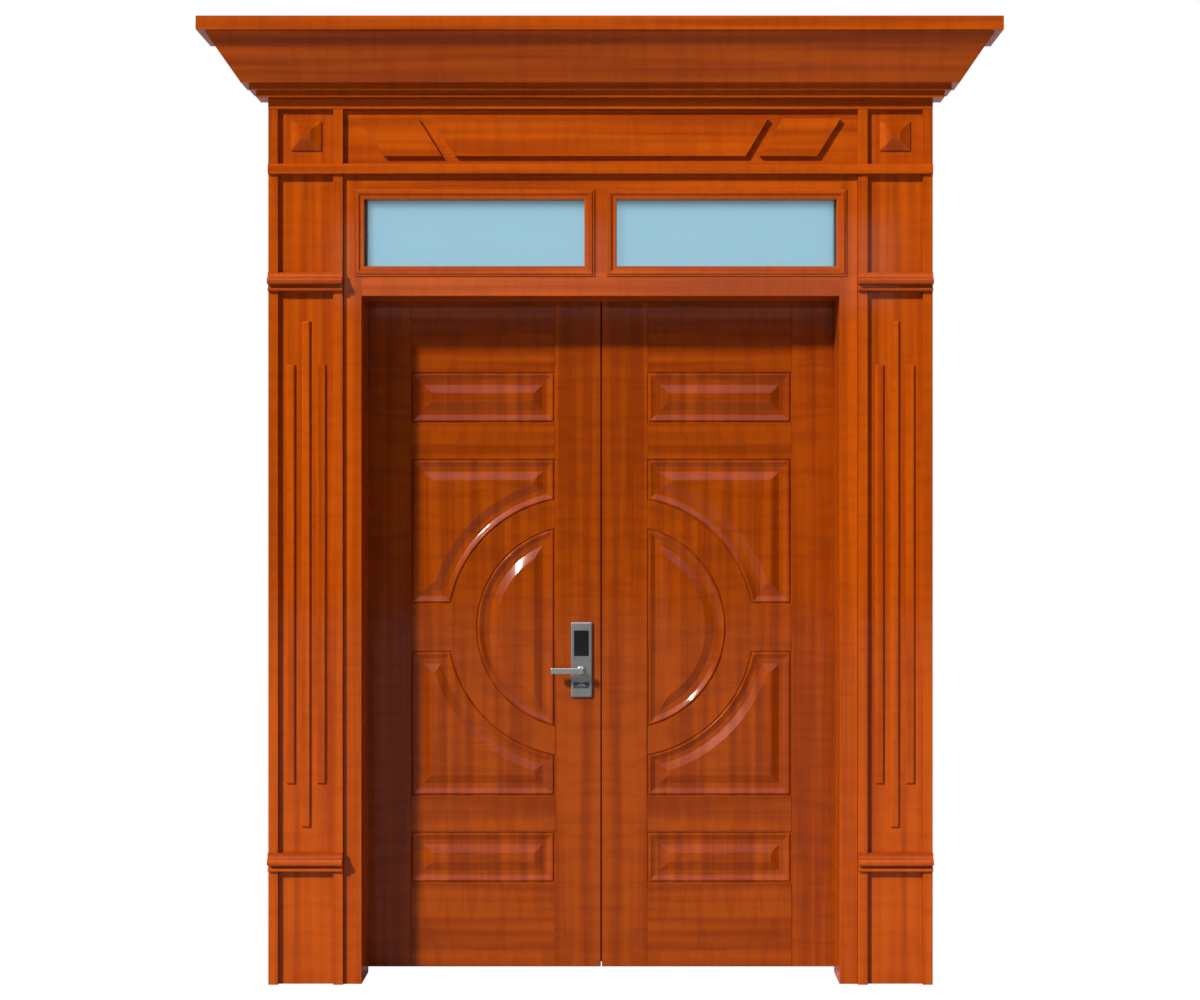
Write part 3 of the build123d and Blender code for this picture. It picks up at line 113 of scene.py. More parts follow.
def make_film():
    """The printed film: soft bands along the grain, red-brown streaks, pores and a faint cross figure."""
    group = bpy.data.node_groups.new("wood_film", "ShaderNodeTree")
    for label, value in (("Across", 0.0), ("Along", 0.0), ("Seed", 0.0), ("Cross", 0.25), ("Tone", 1.0)):
        socket = group.interface.new_socket(label, in_out="INPUT", socket_type="NodeSocketFloat")
        socket.default_value = value
    for label, kind in (("Color", "Color"), ("Height", "Float"), ("Gloss", "Float")):
        group.interface.new_socket(label, in_out="OUTPUT", socket_type="NodeSocket" + kind)
    net = Net(group)
    i, o = group.nodes.new("NodeGroupInput").outputs, group.nodes.new("NodeGroupOutput").inputs
    drift = net.noise(net.xyz(net.times(i["Along"], 1.7), i["Seed"], 0.0), 1.0, 1.0)
    sway = net.times(net.math("SUBTRACT", drift, 0.5), 0.015)
    across = net.plus(i["Across"], sway)

    def stretched(per_across, per_along, *settings):
        """Noise with so many grains per metre across and along the wood."""
        place = net.xyz(net.times(across, per_across), net.times(i["Along"], per_along), i["Seed"])
        return net.noise(place, 1.0, *settings)

    bands = stretched(30.0, 0.8, 1.0, 0.4)
    streaks = stretched(190.0, 1.6, 4.0, 0.6)
    pores = stretched(900.0, 14.0, 2.0, 0.6)
    cross = stretched(5.0, 26.0, 3.0, 0.55, 0.4)
    deep, mid, pale = srgb(156, 60, 2), srgb(184, 78, 3), srgb(200, 90, 10)
    vein_brown, figure_brown, pore_brown = srgb(106, 32, 4), srgb(112, 36, 8), srgb(90, 26, 6)
    base = net.mix(net.span(bands, 0.3, 0.7), deep, mid)
    vein = net.times(net.span(streaks, 0.5, 0.72), net.span(bands, 0.35, 0.75, 0.34, 0.12))
    base = net.mix(vein, base, vein_brown)
    base = net.mix(net.span(streaks, 0.3, 0.46, 0.3, 0.0), base, pale)
    figure = net.times(net.span(cross, 0.45, 0.62), i["Cross"])
    base = net.mix(figure, base, figure_brown)
    base = net.mix(net.span(pores, 0.6, 0.75, 0.0, 0.25), base, pore_brown)
    # One factor per material multiplies the colour: above 1 it is painted light, below 1 painted shade
    painted_light = net.first(net.add("CombineColor"), *[i["Tone"]] * 3)
    net.put(o["Color"], net.mix(1.0, base, painted_light, "MULTIPLY"))
    lines = net.times(pores, 0.4)
    net.put(o["Height"], net.plus(net.times(streaks, 0.6), lines))
    net.put(o["Gloss"], net.span(streaks, 0.3, 0.7, 0.24, 0.34))
    return group


FILM = make_film()


def new_material(name):
    material = bpy.data.materials.new(name)
    material.use_nodes = True
    material.node_tree.nodes.clear()
    net = Net(material.node_tree)
    shader = net.add("BsdfPrincipled")
    net.add("OutputMaterial", Surface=shader.outputs[0])
    return material, net, shader


# The last argument is painted into the colour: above 1 painted light, below 1 painted shade
def wood(name, way, seed=0.0, cross=0.2, painted_light=1.0):
    """Wood-grain lacquer. The grain runs along X, Y or Z, or along V of the piece's own UV map."""
    material, net, shader = new_material(name)
    coords = net.add("TexCoord").outputs
    if way == "uv":
        split = net.add("SeparateXYZ", Vector=coords["UV"]).outputs
        across, along = split[0], split[1]
    else:
        split = net.add("SeparateXYZ", Vector=coords["Object"]).outputs
        order = {"x": (2, 1, 0), "y": (2, 0, 1), "z": (0, 1, 2)}[way]
        side = net.times(split[order[1]], 0.6)
        across, along = net.plus(split[order[0]], side), split[order[2]]
    values = {"Across": across, "Along": along, "Seed": seed, "Cross": cross, "Tone": painted_light}
    film = net.add("Group", {"node_tree": FILM}, **values)
    dust = net.noise(coords["Object"], 9.0, 4.0, 0.6)
    rough = net.plus(film.outputs["Gloss"], net.span(dust, 0.45, 0.75, 0.0, 0.08))
    bump = net.add("Bump", Strength=0.12, Distance=0.0004, Height=film.outputs["Height"])
    net.fill(shader, Base_Color=film.outputs["Color"], Roughness=rough, Normal=bump.outputs[0])
    net.fill(shader, Specular_IOR_Level=0.05, Coat_Weight=0.28, Coat_Roughness=0.07)
    net.fill(shader, Coat_Tint=(0.93, 0.9, 1.0, 1.0))
    return material


def dress(look, *names):
    """Gives the plain solids of the frame their finish."""
    for name in names:
        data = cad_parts[name].data
        data.materials.clear()
        data.materials.append(look)


MM = 0.001


def link(name, data):
    """A new object in the scene."""
    obj = bpy.data.objects.new(name, data)
    bpy.context.collection.objects.link(obj)
    return obj


class Patches:
    """Gathers grids and flat outlines of one piece, each with its own vertices, normals and UV map."""

    def __init__(self):
        self.points, self.normals, self.uvs, self.faces = [], [], [], []
        self.count = 0

    def store(self, points, normals, uvs, faces):
        self.points.append(points)
        self.normals.append(normals)
        self.uvs.append(uvs)
        self.faces += [tuple(self.count + k for k in face) for face in faces]
        self.count += len(points)

    def grid(self, p, uv):
        """A grid of points (rows, columns, 3). Vertex normals lean to the larger neighbouring quads.

        Normal of a vertex = sum of A^2 n over its quads, with A the quad's area and n its unit normal.
        """
        p = np.asarray(p, float)
        rows, columns = p.shape[:2]
        cross = np.cross(p[1:, 1:] - p[:-1, :-1], p[1:, :-1] - p[:-1, 1:])
        size = np.linalg.norm(cross, axis=2, keepdims=True)
        push = cross * size
        normals = np.zeros_like(p)
        for a in (slice(0, -1), slice(1, None)):
            for b in (slice(0, -1), slice(1, None)):
                normals[a, b] += push
        normals /= np.maximum(np.linalg.norm(normals, axis=2, keepdims=True), 1e-30)
        index = np.arange(rows * columns).reshape(rows, columns)
        quads = np.stack([index[:-1, :-1], index[:-1, 1:], index[1:, 1:], index[1:, :-1]], -1)
        keep = size[..., 0] > 1e-12
        faces = [tuple(q) for q in quads[keep].tolist()]
        uv = np.asarray(uv, float).reshape(-1, 2)
        self.store(p.reshape(-1, 3), normals.reshape(-1, 3), uv, faces)

    def flat(self, points, normal, uv):
        points = np.asarray(points, float)
        area = np.zeros(3)
        for a, b in zip(points, np.roll(points, -1, 0)):
            area += np.cross(a, b)
        order = range(len(points)) if np.dot(area, normal) > 0 else range(len(points) - 1, -1, -1)
        normals = np.tile(np.asarray(normal, float), (len(points), 1))
        self.store(points, normals, np.asarray(uv, float).reshape(-1, 2), [tuple(order)])

    def turned(self, flip_x=False, flip_y_about=None):
        """A copy mirrored across X = 0 and/or across a plane of constant Y."""
        made = Patches()
        scale = np.array([-1.0 if flip_x else 1.0, 1.0 if flip_y_about is None else -1.0, 1.0])
        made.points = [p * scale + (0.0, 2 * (flip_y_about or 0.0), 0.0) for p in self.points]
        made.normals = [n * scale for n in self.normals]
        made.faces = [face[:: int(np.prod(scale))] for face in self.faces]
        made.uvs, made.count = self.uvs, self.count
        return made

    def build(self, name, material, body, *replaced):
        """Makes the object visual_name. The solids that it replaces get its material."""
        name = "visual_" + name
        mesh = bpy.data.meshes.new(name)
        mesh.from_pydata((np.concatenate(self.points) * MM).tolist(), [], self.faces)
        mesh.polygons.foreach_set("use_smooth", [True] * len(mesh.polygons))
        layer = mesh.uv_layers.new(name="grain")
        corners = np.zeros(len(mesh.loops), int)
        mesh.loops.foreach_get("vertex_index", corners)
        layer.data.foreach_set("uv", (np.concatenate(self.uvs)[corners] * MM).ravel())
        mesh.normals_split_custom_set_from_vertices(np.concatenate(self.normals).tolist())
        mesh.materials.append(material)
        obj = link(name, mesh)
        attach(obj, body)
        if replaced:
            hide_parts(*replaced)
        dress(material, *replaced)


def rounded(points, radius, closed=True, steps=3):
    """An outline whose corners are cut by arcs of one radius, or of the largest that fits."""
    points = [np.array(p, float) for p in points]
    made = []
    count = len(points)
    for k, p in enumerate(points):
        if not closed and k in (0, count - 1):
            made.append(p)
            continue
        a, b = points[k - 1] - p, points[(k + 1) % count] - p
        la, lb = np.linalg.norm(a), np.linalg.norm(b)
        a, b = a / la, b / lb
        bend = math.acos(max(-1.0, min(1.0, float(np.dot(a, b)))))
        if bend > 3.1:
            made.append(p)
            continue
        reach = min(radius / math.tan(bend / 2), 0.45 * la, 0.45 * lb)
        r = reach * math.tan(bend / 2)
        middle = p + (a + b) / np.linalg.norm(a + b) * (r / math.sin(bend / 2))
        start, end = p + a * reach - middle, p + b * reach - middle
        turn = math.acos(max(-1.0, min(1.0, float(np.dot(start, end)) / r**2)))
        for t in np.linspace(0, 1, steps + 1):
            spoke = math.sin((1 - t) * turn) * start + math.sin(t * turn) * end
            made.append(middle + spoke / math.sin(turn))
    return np.array(made)


def path_length(outline):
    return np.concatenate([[0], np.cumsum(np.linalg.norm(np.diff(outline, axis=0), axis=1))])


def add_bar(piece, outline, axis, a, b, shift=0.0, ends=True):
    """A straight bar along one axis from a closed outline. UV runs round the outline and along the bar.

    Outline points are (x, y) for axis z, (y, z) for x and (x, z) for y. Its ends can lean: a and b may be
    functions of an outline point, as for a mitre. The shift gives the bar its own place on the film.
    """
    outline = np.asarray(outline, float)
    nxt = np.roll(outline, -1, 0)
    turned = np.sum(outline[:, 0] * nxt[:, 1] - outline[:, 1] * nxt[:, 0]) > 0
    if axis == "y":
        turned = not turned
    ring = outline if turned else outline[::-1]
    ring = np.concatenate([ring, ring[:1]])
    low = np.array([a(p) if callable(a) else a for p in ring], float)
    high = np.array([b(p) if callable(b) else b for p in ring], float)
    rows = []
    for level in (low, high):
        first, second = ring[:, 0], ring[:, 1]
        columns = {"z": (first, second, level), "x": (level, first, second), "y": (first, level, second)}
        rows.append(np.stack(columns[axis], 1))
    run = path_length(ring) + shift
    piece.grid(np.stack(rows), np.stack([np.stack([run, low], 1), np.stack([run, high], 1)]))
    if not ends:
        return
    for row, way in ((rows[0][:-1], -1), (rows[1][:-1], 1)):
        side = np.zeros(3)
        for p, q in zip(row - row[0], np.roll(row - row[0], -1, 0)):
            side += np.cross(p, q)
        side *= way * np.sign(np.dot(side, {"x": (1, 0, 0), "y": (0, 1, 0), "z": (0, 0, 1)}[axis]))
        cross = {"z": (0, 1), "x": (1, 2), "y": (0, 2)}[axis]
        piece.flat(row, side / np.linalg.norm(side), row[:, list(cross)] + [shift, 0])


def oblong(a, b, inset=0):
    """Corners of an oblong between two spans, anticlockwise."""
    low_a, high_a, low_b, high_b = a[0] + inset, a[1] - inset, b[0] + inset, b[1] - inset
    return [(low_a, low_b), (high_a, low_b), (high_a, high_b), (low_a, high_b)]


def add_block(piece, x, y, z, axis, radius):
    """A box with rounded long edges, whose grain runs along the given axis."""
    a, b, span = {"z": (x, y, z), "x": (y, z, x)}[axis]
    add_bar(piece, rounded(oblong(a, b), radius), axis, *span)


# The frame's pieces are painted 5 % lighter than the film: painted light of the fully lit front plane
WOOD_UV = wood("wood_piece_painted_light", "uv", 7.0, 0.15, 1.05)
WOOD_Z = wood("wood_upright", "z")
WOOD_X = wood("wood_level", "x", 3.0)
FRONT_Y, JAMB_Y, FIELD_Y, FRIEZE_Y, STOP_Y = -62.0, -48.0, -44.0, -43.0, 148.0
HALF_OPEN, JAMB_X, CASING_X, PILASTER_X = 778.5, 837.5, 1080.5, 959.0
REBATE_X, REBATE_Z = 793.5, 2256.0
LEAF_Y, LEAF_BACK = 151.0, 201.0
OPENING_H, LIGHT_FOOT, LIGHT_TOP, BAND_Z = 2241.0, 2320.0, 2573.0, 2636.0
FOLD = 1.6


def both(piece, name, *nodes):
    """Builds a fixed wood-grain piece on the right and its mirror image on the left."""
    piece.build(name + "_right", WOOD_UV, "frame", *nodes[:1])
    piece.turned(True).build(name + "_left", WOOD_UV, "frame", *nodes[1:])


def tube_section(a0, a1, b0, b1):
    return rounded(oblong((a0, a1), (b0, b1)), FOLD)


jamb = Patches()
add_bar(jamb, tube_section(HALF_OPEN, JAMB_X, JAMB_Y, STOP_Y), "z", 0, BAND_Z)
add_bar(jamb, tube_section(REBATE_X, JAMB_X, STOP_Y, LEAF_BACK), "z", 0, BAND_Z, 400)
both(jamb, "jamb", "jamb_right", "jamb_left")
bars = Patches()
add_bar(bars, tube_section(JAMB_Y, STOP_Y, OPENING_H, LIGHT_FOOT), "x", -HALF_OPEN, HALF_OPEN, 1200)
ROD_X, ROD_Y, ROD_HOLE_HALF = 14.0, 176.0, 6.5
rear = tube_section(STOP_Y, LEAF_BACK, REBATE_Z, LIGHT_FOOT)
add_bar(bars, rear, "x", -HALF_OPEN, ROD_X - ROD_HOLE_HALF, 1600)
add_bar(bars, rear, "x", ROD_X + ROD_HOLE_HALF, HALF_OPEN, 1600)
# Between the two lengths the bottom is open over the passive leaf's upper bolt
lip = [
    (ROD_Y + ROD_HOLE_HALF, REBATE_Z), (LEAF_BACK, REBATE_Z), (LEAF_BACK, LIGHT_FOOT), (STOP_Y, LIGHT_FOOT),
    (STOP_Y, REBATE_Z), (ROD_Y - ROD_HOLE_HALF, REBATE_Z),
]
lip = rounded(lip, FOLD, False)
over = np.array([[(x, y, z) for y, z in lip] for x in (ROD_X - ROD_HOLE_HALF, ROD_X + ROD_HOLE_HALF)])
bars.grid(over, np.stack([np.stack([path_length(lip) + 1600, row[:, 0]], 1) for row in over]))
bars.build("transom_bar", WOOD_UV, "frame", "transom_bar")
head = Patches()
add_bar(head, tube_section(JAMB_Y, LEAF_BACK, LIGHT_TOP, BAND_Z), "x", -HALF_OPEN, HALF_OPEN, 2300)
head.build("frame_head", WOOD_UV, "frame", "frame_head")
mullion = Patches()
MULLION_HALF = 34.5
tube = tube_section(-MULLION_HALF, MULLION_HALF, JAMB_Y, LEAF_BACK)
add_bar(mullion, tube, "z", LIGHT_FOOT, LIGHT_TOP, 2900)
mullion.build("mullion", WOOD_UV, "frame", "mullion")
dress(WOOD_Z, "jamb_left", "jamb_right", "mullion")
dress(WOOD_X, "transom_bar", "frame_head")


# Wall lugs, casing clips and keeper plate: cut and bent from zinc-plated steel. Lugs and clips are screwed to
# the wall and hold the frame and the casing, and the keeper takes the passive leaf's upper bolt
def darker(colour, share):
    return tuple(c * share for c in colour[:3]) + (1.0,)


def metal(name, colour, rough, metallic=1.0, brushed=0.0):
    """Bare or plated metal with fine scratches, finger smears and a little tarnish."""
    material, net, shader = new_material(name)
    place = net.add("TexCoord").outputs["Object"]
    split = net.add("SeparateXYZ", Vector=place).outputs
    line = net.xyz(net.times(split[0], 60.0), split[1], net.times(split[2], 2400.0))
    scratch = net.noise(line, 1.0, 2.0)
    smear = net.noise(place, 40.0, 4.0, 0.6)
    dull = net.mix(net.span(smear, 0.5, 0.8, 0.0, 0.3), colour, darker(colour, 0.6))
    spread = net.times(net.math("SUBTRACT", scratch, 0.5), brushed)
    rise = net.plus(rough, net.span(smear, 0.4, 0.8, 0.0, 0.12))
    bump = net.add("Bump", Strength=0.08, Distance=0.0002, Height=scratch)
    net.fill(shader, Base_Color=dull, Metallic=metallic, Roughness=net.plus(rise, spread))
    net.fill(shader, Normal=bump.outputs[0])
    return material


ZINC = metal("zinc_steel", srgb(168, 170, 172), 0.42, 0.9, 0.2)
dress(ZINC, "wall_lugs", "casing_clips", "bolt_keeper")


# Door stop seal and glazing gaskets: extruded rubber. The seal is pressed into the frame's rebate, where the
# closed leaves lie against it, and the gaskets are pressed in between the panes and the frame
def plain(name, colour, rough, scale=300.0, rise=0.0002, mottle=0.12):
    """Rubber, plastic or board: mottled colour and a fine bump."""
    material, net, shader = new_material(name)
    place = net.add("TexCoord").outputs["Object"]
    grain = net.noise(place, scale, 3.0)
    patch = net.noise(place, 12.0, 3.0)
    shade = net.mix(net.span(patch, 0.35, 0.7, 0.0, mottle), colour, darker(colour, 0.5))
    dull = net.plus(rough, net.span(patch, 0.3, 0.7, 0.0, 0.08))
    bump = net.add("Bump", Strength=0.3, Distance=rise, Height=grain)
    net.fill(shader, Base_Color=shade, Roughness=dull, Normal=bump.outputs[0])
    return material


RUBBER = plain("seal_rubber", srgb(38, 36, 36), 0.6)
dress(RUBBER, "stop_seal", "window_gaskets")


# Panes of the transom lights: pale blue glass with a fine haze, cut to size. Each is bedded between rubber
# gaskets, with the moulding in front of it and the beads behind
def glass_material():
    """Pale blue sealed pane with faint dust."""
    material, net, shader = new_material("window_glass")
    place = net.add("TexCoord").outputs["Object"]
    dust = net.noise(place, 30.0, 5.0, 0.65)
    tint = net.mix(net.span(dust, 0.45, 0.8, 0.0, 0.15), srgb(156, 202, 220), srgb(180, 212, 224))
    net.fill(shader, Base_Color=tint, Roughness=net.span(dust, 0.5, 0.8, 0.3, 0.36))
    net.fill(shader, Transmission_Weight=0.94, IOR=1.5)
    return material


dress(glass_material(), "window_glass")


# Mouldings round the panes: rolled steel, mitred and welded at four corners, with a leg that holds the pane.
# The inner beads are mitred too and clip in from the room
WINDOW_X, WINDOW_Z, BEAD_Y = (19.5, 802.0), (2305.0, 2588.0), -12.0
MOULDING_LINE = [
    (0, 0), (0, 5), (5, 5), (8, 9), (15, 9), (20, 4), (31, 4), (33, 2), (33, -26), (30, -26), (30, 0),
]
MOULDING = rounded(MOULDING_LINE, 1.4, True, 4)
INNER_BEAD = rounded([(0, 0), (0, -20), (11, -20), (16, -10), (16, 0)], 1.2)


def add_mitred_frame(piece, section, x, z, plane):
    """Four bars whose section gives (inwards, forwards). Each end leans by the distance inwards."""
    for k in range(4):
        axis, span, edges = ("x", x, z) if k < 2 else ("z", z, x)
        edge, way, place = edges[k % 2], (1, -1)[k % 2], "zx".index(axis)
        line = [(plane - out, edge + way * inward) for inward, out in section]
        line = line if place else [p[::-1] for p in line]

        def lean(p):
            return way * (p[place] - edge)

        add_bar(piece, line, axis, lambda p: span[0] + lean(p), lambda p: span[1] - lean(p), 200 * k, False)


moulding = Patches()
add_mitred_frame(moulding, MOULDING, WINDOW_X, WINDOW_Z, JAMB_Y)
both(moulding, "window_moulding", "window_moulding_right", "window_moulding_left")
bead = Patches()
add_mitred_frame(bead, INNER_BEAD, (MULLION_HALF, HALF_OPEN), (LIGHT_FOOT, LIGHT_TOP), BEAD_Y)
both(bead, "window_bead", "window_beads")
dress(WOOD_X, "window_moulding_left", "window_moulding_right", "window_beads")


# Pilasters and corner blocks: one folded steel sheet each, two raised strips with a sunk field between them.
# They hang on the casing clips
STRIP, LEG, SHEET = 32.0, 20.0, 1.5
FRIEZE_FOOT, RAIL_FOOT, RAIL_TOP = 2669.0, 2847.5, 2880.0
PILASTER_FRONT = [
    (JAMB_X + LEG, 0), (JAMB_X, 0), (JAMB_X, FRONT_Y), (JAMB_X + STRIP, FRONT_Y), (JAMB_X + STRIP, FIELD_Y),
    (CASING_X - STRIP, FIELD_Y), (CASING_X - STRIP, FRONT_Y), (CASING_X, FRONT_Y), (CASING_X, 0),
    (CASING_X - LEG, 0),
]
PILASTER_BACK = [
    (CASING_X - LEG, -SHEET), (CASING_X - SHEET, -SHEET), (CASING_X - SHEET, FRONT_Y + SHEET),
    (CASING_X - STRIP + SHEET, FRONT_Y + SHEET), (CASING_X - STRIP + SHEET, FIELD_Y + SHEET),
    (JAMB_X + STRIP - SHEET, FIELD_Y + SHEET), (JAMB_X + STRIP - SHEET, FRONT_Y + SHEET),
    (JAMB_X + SHEET, FRONT_Y + SHEET), (JAMB_X + SHEET, -SHEET), (JAMB_X + LEG, -SHEET),
]


def folded(front, back):
    """A sheet's outline, from the line of its face and that of its back."""
    return np.concatenate([rounded(front, FOLD, False), rounded(back, 0.6, False)])


PILASTER_SECTION = folded(PILASTER_FRONT, PILASTER_BACK)
pilaster = Patches()
add_bar(pilaster, PILASTER_SECTION, "z", 0, BAND_Z, 3500)
both(pilaster, "pilaster", "pilaster_right", "pilaster_left")
corner = Patches()
add_bar(corner, PILASTER_SECTION, "z", FRIEZE_FOOT, RAIL_FOOT, 4400)
both(corner, "corner_block", "corner_blocks")
dress(WOOD_Z, "pilaster_left", "pilaster_right", "corner_blocks")


# Reeds: pressed steel bars with chamfered fronts, screwed to the field from behind. Three stand on each
# pilaster, and the middle one is longer at both ends
def add_pyramid(piece, x, z, base, slopes, shift=0.0):
    """A pressed block: each side is a strip through (inset, height above base) pairs, closed by a flat."""
    corners = [oblong(x, z, inset) for inset, _ in slopes]
    levels = [(c, base - h) for c, (_, h) in zip(corners, slopes)]
    for k in range(4):
        strip = np.array([[(c[j][0], y, c[j][1]) for j in (k, (k + 1) % 4)] for c, y in levels])
        piece.grid(strip, strip[..., [0, 2]] + [shift, 0])
    cap = np.array([(a, base - slopes[-1][1], b) for a, b in corners[-1]])
    piece.flat(cap, (0, -1, 0), cap[:, [0, 2]] + [shift, 0])


REED_SLOPES = [(0, 0), (0, 4.6), (0.2, 5.2), (0.5, 5.6), (3.4, 8.5), (3.8, 8.85), (4.6, 9.0)]
REED_HALF, REED_STEP, MIDDLE_REED, SIDE_REED = 14, 50, (510, 2159), (652, 2017)
reeds = Patches()
for k, (step, span) in enumerate(((0, MIDDLE_REED), (-REED_STEP, SIDE_REED), (REED_STEP, SIDE_REED))):
    reed_x = (PILASTER_X + step - REED_HALF, PILASTER_X + step + REED_HALF)
    add_pyramid(reeds, reed_x, span, FIELD_Y, REED_SLOPES, 5000 + 130 * k)
both(reeds, "reeds", "reeds")
dress(WOOD_Z, "reeds")


# Capitals and base mouldings: rolled steel across each pilaster, with a tongue that fills the field behind.
# They are welded on from inside
def moulding_section(z):
    """Small roll, dark recess, large roll, hollow and flat top, as (y, z)."""
    points = [(0, 0), (12, 0)]
    points += [(12 + 2 * math.sin(math.pi * t / 6), 10 * t / 6) for t in range(1, 6)]
    points += [(12, 10), (4, 10), (4, 22), (28, 22)]
    points += [(28 + 3 * math.sin(math.pi * t / 8), 22 + 18 * t / 8) for t in range(1, 8)]
    points += [(28, 40)]
    quarter = [math.pi / 2 * t / 8 for t in range(1, 8)]
    points += [(28 - 15 * math.sin(a), 40 + 16 * (1 - math.cos(a))) for a in quarter]
    points += [(13, 56), (13, 60), (0, 60)]
    return rounded([(FRONT_Y - out, z + up) for out, up in points], 0.5, True, 2)


CAPITAL_FOOT, BASE_FOOT, CAPITAL_H = 2255.0, 369.5, 60
CAPITAL_NODES = ("pilaster_mouldings_right", "pilaster_mouldings_left")
capital = Patches()
for k, z in enumerate((CAPITAL_FOOT, BASE_FOOT)):
    add_bar(capital, moulding_section(z), "x", JAMB_X, CASING_X, 5600 + 240 * k)
    tongue_x = (JAMB_X + STRIP, CASING_X - STRIP)
    add_block(capital, tongue_x, (FRONT_Y, FIELD_Y), (z, z + CAPITAL_H), "x", 0.4)
both(capital, "pilaster_moulding", *CAPITAL_NODES)
dress(WOOD_X, "pilaster_mouldings_left", "pilaster_mouldings_right")


# Corner bosses: pyramids pressed from steel sheet under the same film, one in the middle of each corner block
# and welded on from behind
BOSS_HALF, BOSS_Z = 49, (2714.5, 2809.5)
BOSS_SLOPES = [(0, 0), (0, 5.2), (0.3, 5.7), (0.9, 6.2), (32.0, 23.6), (32.6, 23.9), (33.0, 24.0)]
boss = Patches()
add_pyramid(boss, (PILASTER_X - BOSS_HALF, PILASTER_X + BOSS_HALF), BOSS_Z, FIELD_Y, BOSS_SLOPES, 6300)
both(boss, "corner_boss", "corner_bosses")
dress(WOOD_Z, "corner_bosses")


# Band, frieze and top rail: folded steel sheet across the whole width, hung between the pilasters and the
# cornice. The frieze is a tray that is open towards the wall
BAND_Y, BAND_CHAMFER, RAIL_Y = -74.0, 5.0, -64.0
band = Patches()
band_line = [
    (0, BAND_Z), (0, FRIEZE_FOOT), (BAND_Y + BAND_CHAMFER, FRIEZE_FOOT), (BAND_Y, FRIEZE_FOOT - BAND_CHAMFER),
    (BAND_Y, BAND_Z),
]
add_bar(band, rounded(band_line, 1.4), "x", -CASING_X, CASING_X, 6700)
band.build("band", WOOD_UV, "frame", "band")
rail = Patches()
add_bar(rail, tube_section(RAIL_Y, 0, RAIL_FOOT, RAIL_TOP), "x", -CASING_X, CASING_X, 7100)
rail.build("top_rail", WOOD_UV, "frame", "top_rail")
frieze = Patches()
inside_y, inside_foot, inside_top = FRIEZE_Y + SHEET, FRIEZE_FOOT + SHEET, RAIL_FOOT - SHEET
frieze_front = [(0, FRIEZE_FOOT), (FRIEZE_Y, FRIEZE_FOOT), (FRIEZE_Y, RAIL_FOOT), (0, RAIL_FOOT)]
frieze_back = [(0, inside_top), (inside_y, inside_top), (inside_y, inside_foot), (0, inside_foot)]
add_bar(frieze, folded(frieze_front, frieze_back), "x", -JAMB_X, JAMB_X, 7450)
frieze.build("frieze", WOOD_UV, "frame", "frieze_panel")
dress(WOOD_X, "band", "top_rail", "frieze_panel")


# Raised panels of the frieze: pressed shells with straight sides, a long one between two slanted short ones,
# welded on from behind
RAISED_FACE, RAISED_EDGE = FRIEZE_Y - 18, 0.8
raised = Patches()
foot, top = 2695.0, 2818.0
shapes = [
    [(-473.5, foot), (473.5, foot), (546, top), (-546, top)],
    [(517, foot), (705.5, foot), (781.6, top), (593, top)],
    [(-517, foot), (-705.5, foot), (-781.6, top), (-593, top)],
]
for k, shape in enumerate(shapes):
    outline = rounded(shape, RAISED_EDGE)
    add_bar(raised, outline, "y", RAISED_FACE + RAISED_EDGE, FRIEZE_Y, 7900, False)
    nxt = np.roll(outline, -1, 0)
    middle = outline.mean(0)
    cap = middle + (outline - middle) * (1 - RAISED_EDGE / np.abs(outline - middle).max(0))
    rim = np.stack([np.concatenate([outline, outline[:1]]), np.concatenate([cap, cap[:1]])])
    depth = np.broadcast_to(np.array([[RAISED_FACE + RAISED_EDGE], [RAISED_FACE]]), rim.shape[:2])
    strip = np.stack([rim[..., 0], depth, rim[..., 1]], -1)
    area = np.sum(outline[:, 0] * nxt[:, 1] - outline[:, 1] * nxt[:, 0])
    strip = strip if area > 0 else strip[:, ::-1]
    raised.grid(strip, strip[..., [2, 0]])
    face = np.array([(x, RAISED_FACE, z) for x, z in cap])
    raised.flat(face, (0, -1, 0), face[:, [2, 0]] + [300 * k, 0])
raised.build("frieze_panels", WOOD_UV, "frame", "frieze_raised_panels")
dress(WOOD_X, "frieze_raised_panels")


# Cornice: one folded profile across the front, mitred into returns that run back to the wall. A flat cover
# closes it on top, and brackets of zinc-plated steel inside carry it
CORNICE_FACE = [
    (184, 3108.5), (199, 3108.5), (199, 3064), (175, 3064), (77, 2920), (54, 2920), (54, 2900), (34, 2900),
    (34, 2880), (-20, 2880),
]
CORNICE_BACK = [
    (-20, 2881.5), (32.5, 2881.5), (32.5, 2901.5), (52.5, 2901.5), (52.5, 2921.5), (76.2, 2921.5),
    (174.2, 3065.5), (197.5, 3065.5), (197.5, 3107), (184, 3107),
]
profile = folded(CORNICE_FACE, CORNICE_BACK)
front_cornice = Patches()
section = [(FRONT_Y - out, z) for out, z in profile]


def mitre(p):
    """Half the length of the front at an outline point."""
    return CASING_X + (FRONT_Y - p[0])


add_bar(front_cornice, section, "x", lambda p: -mitre(p), mitre, 8300, False)
front_cornice.build("cornice_front", WOOD_UV, "frame", "cornice_front")
side_cornice = Patches()
section = [(CASING_X + out, z) for out, z in profile]
add_bar(side_cornice, section, "y", lambda p: FRONT_Y - (p[0] - CASING_X), 0, 9100, False)
both(side_cornice, "cornice_return", "cornice_returns")
dress(WOOD_X, "cornice_front", "cornice_top")
dress(wood("wood_return", "y", 5.0), "cornice_returns")
dress(ZINC, "cornice_brackets")
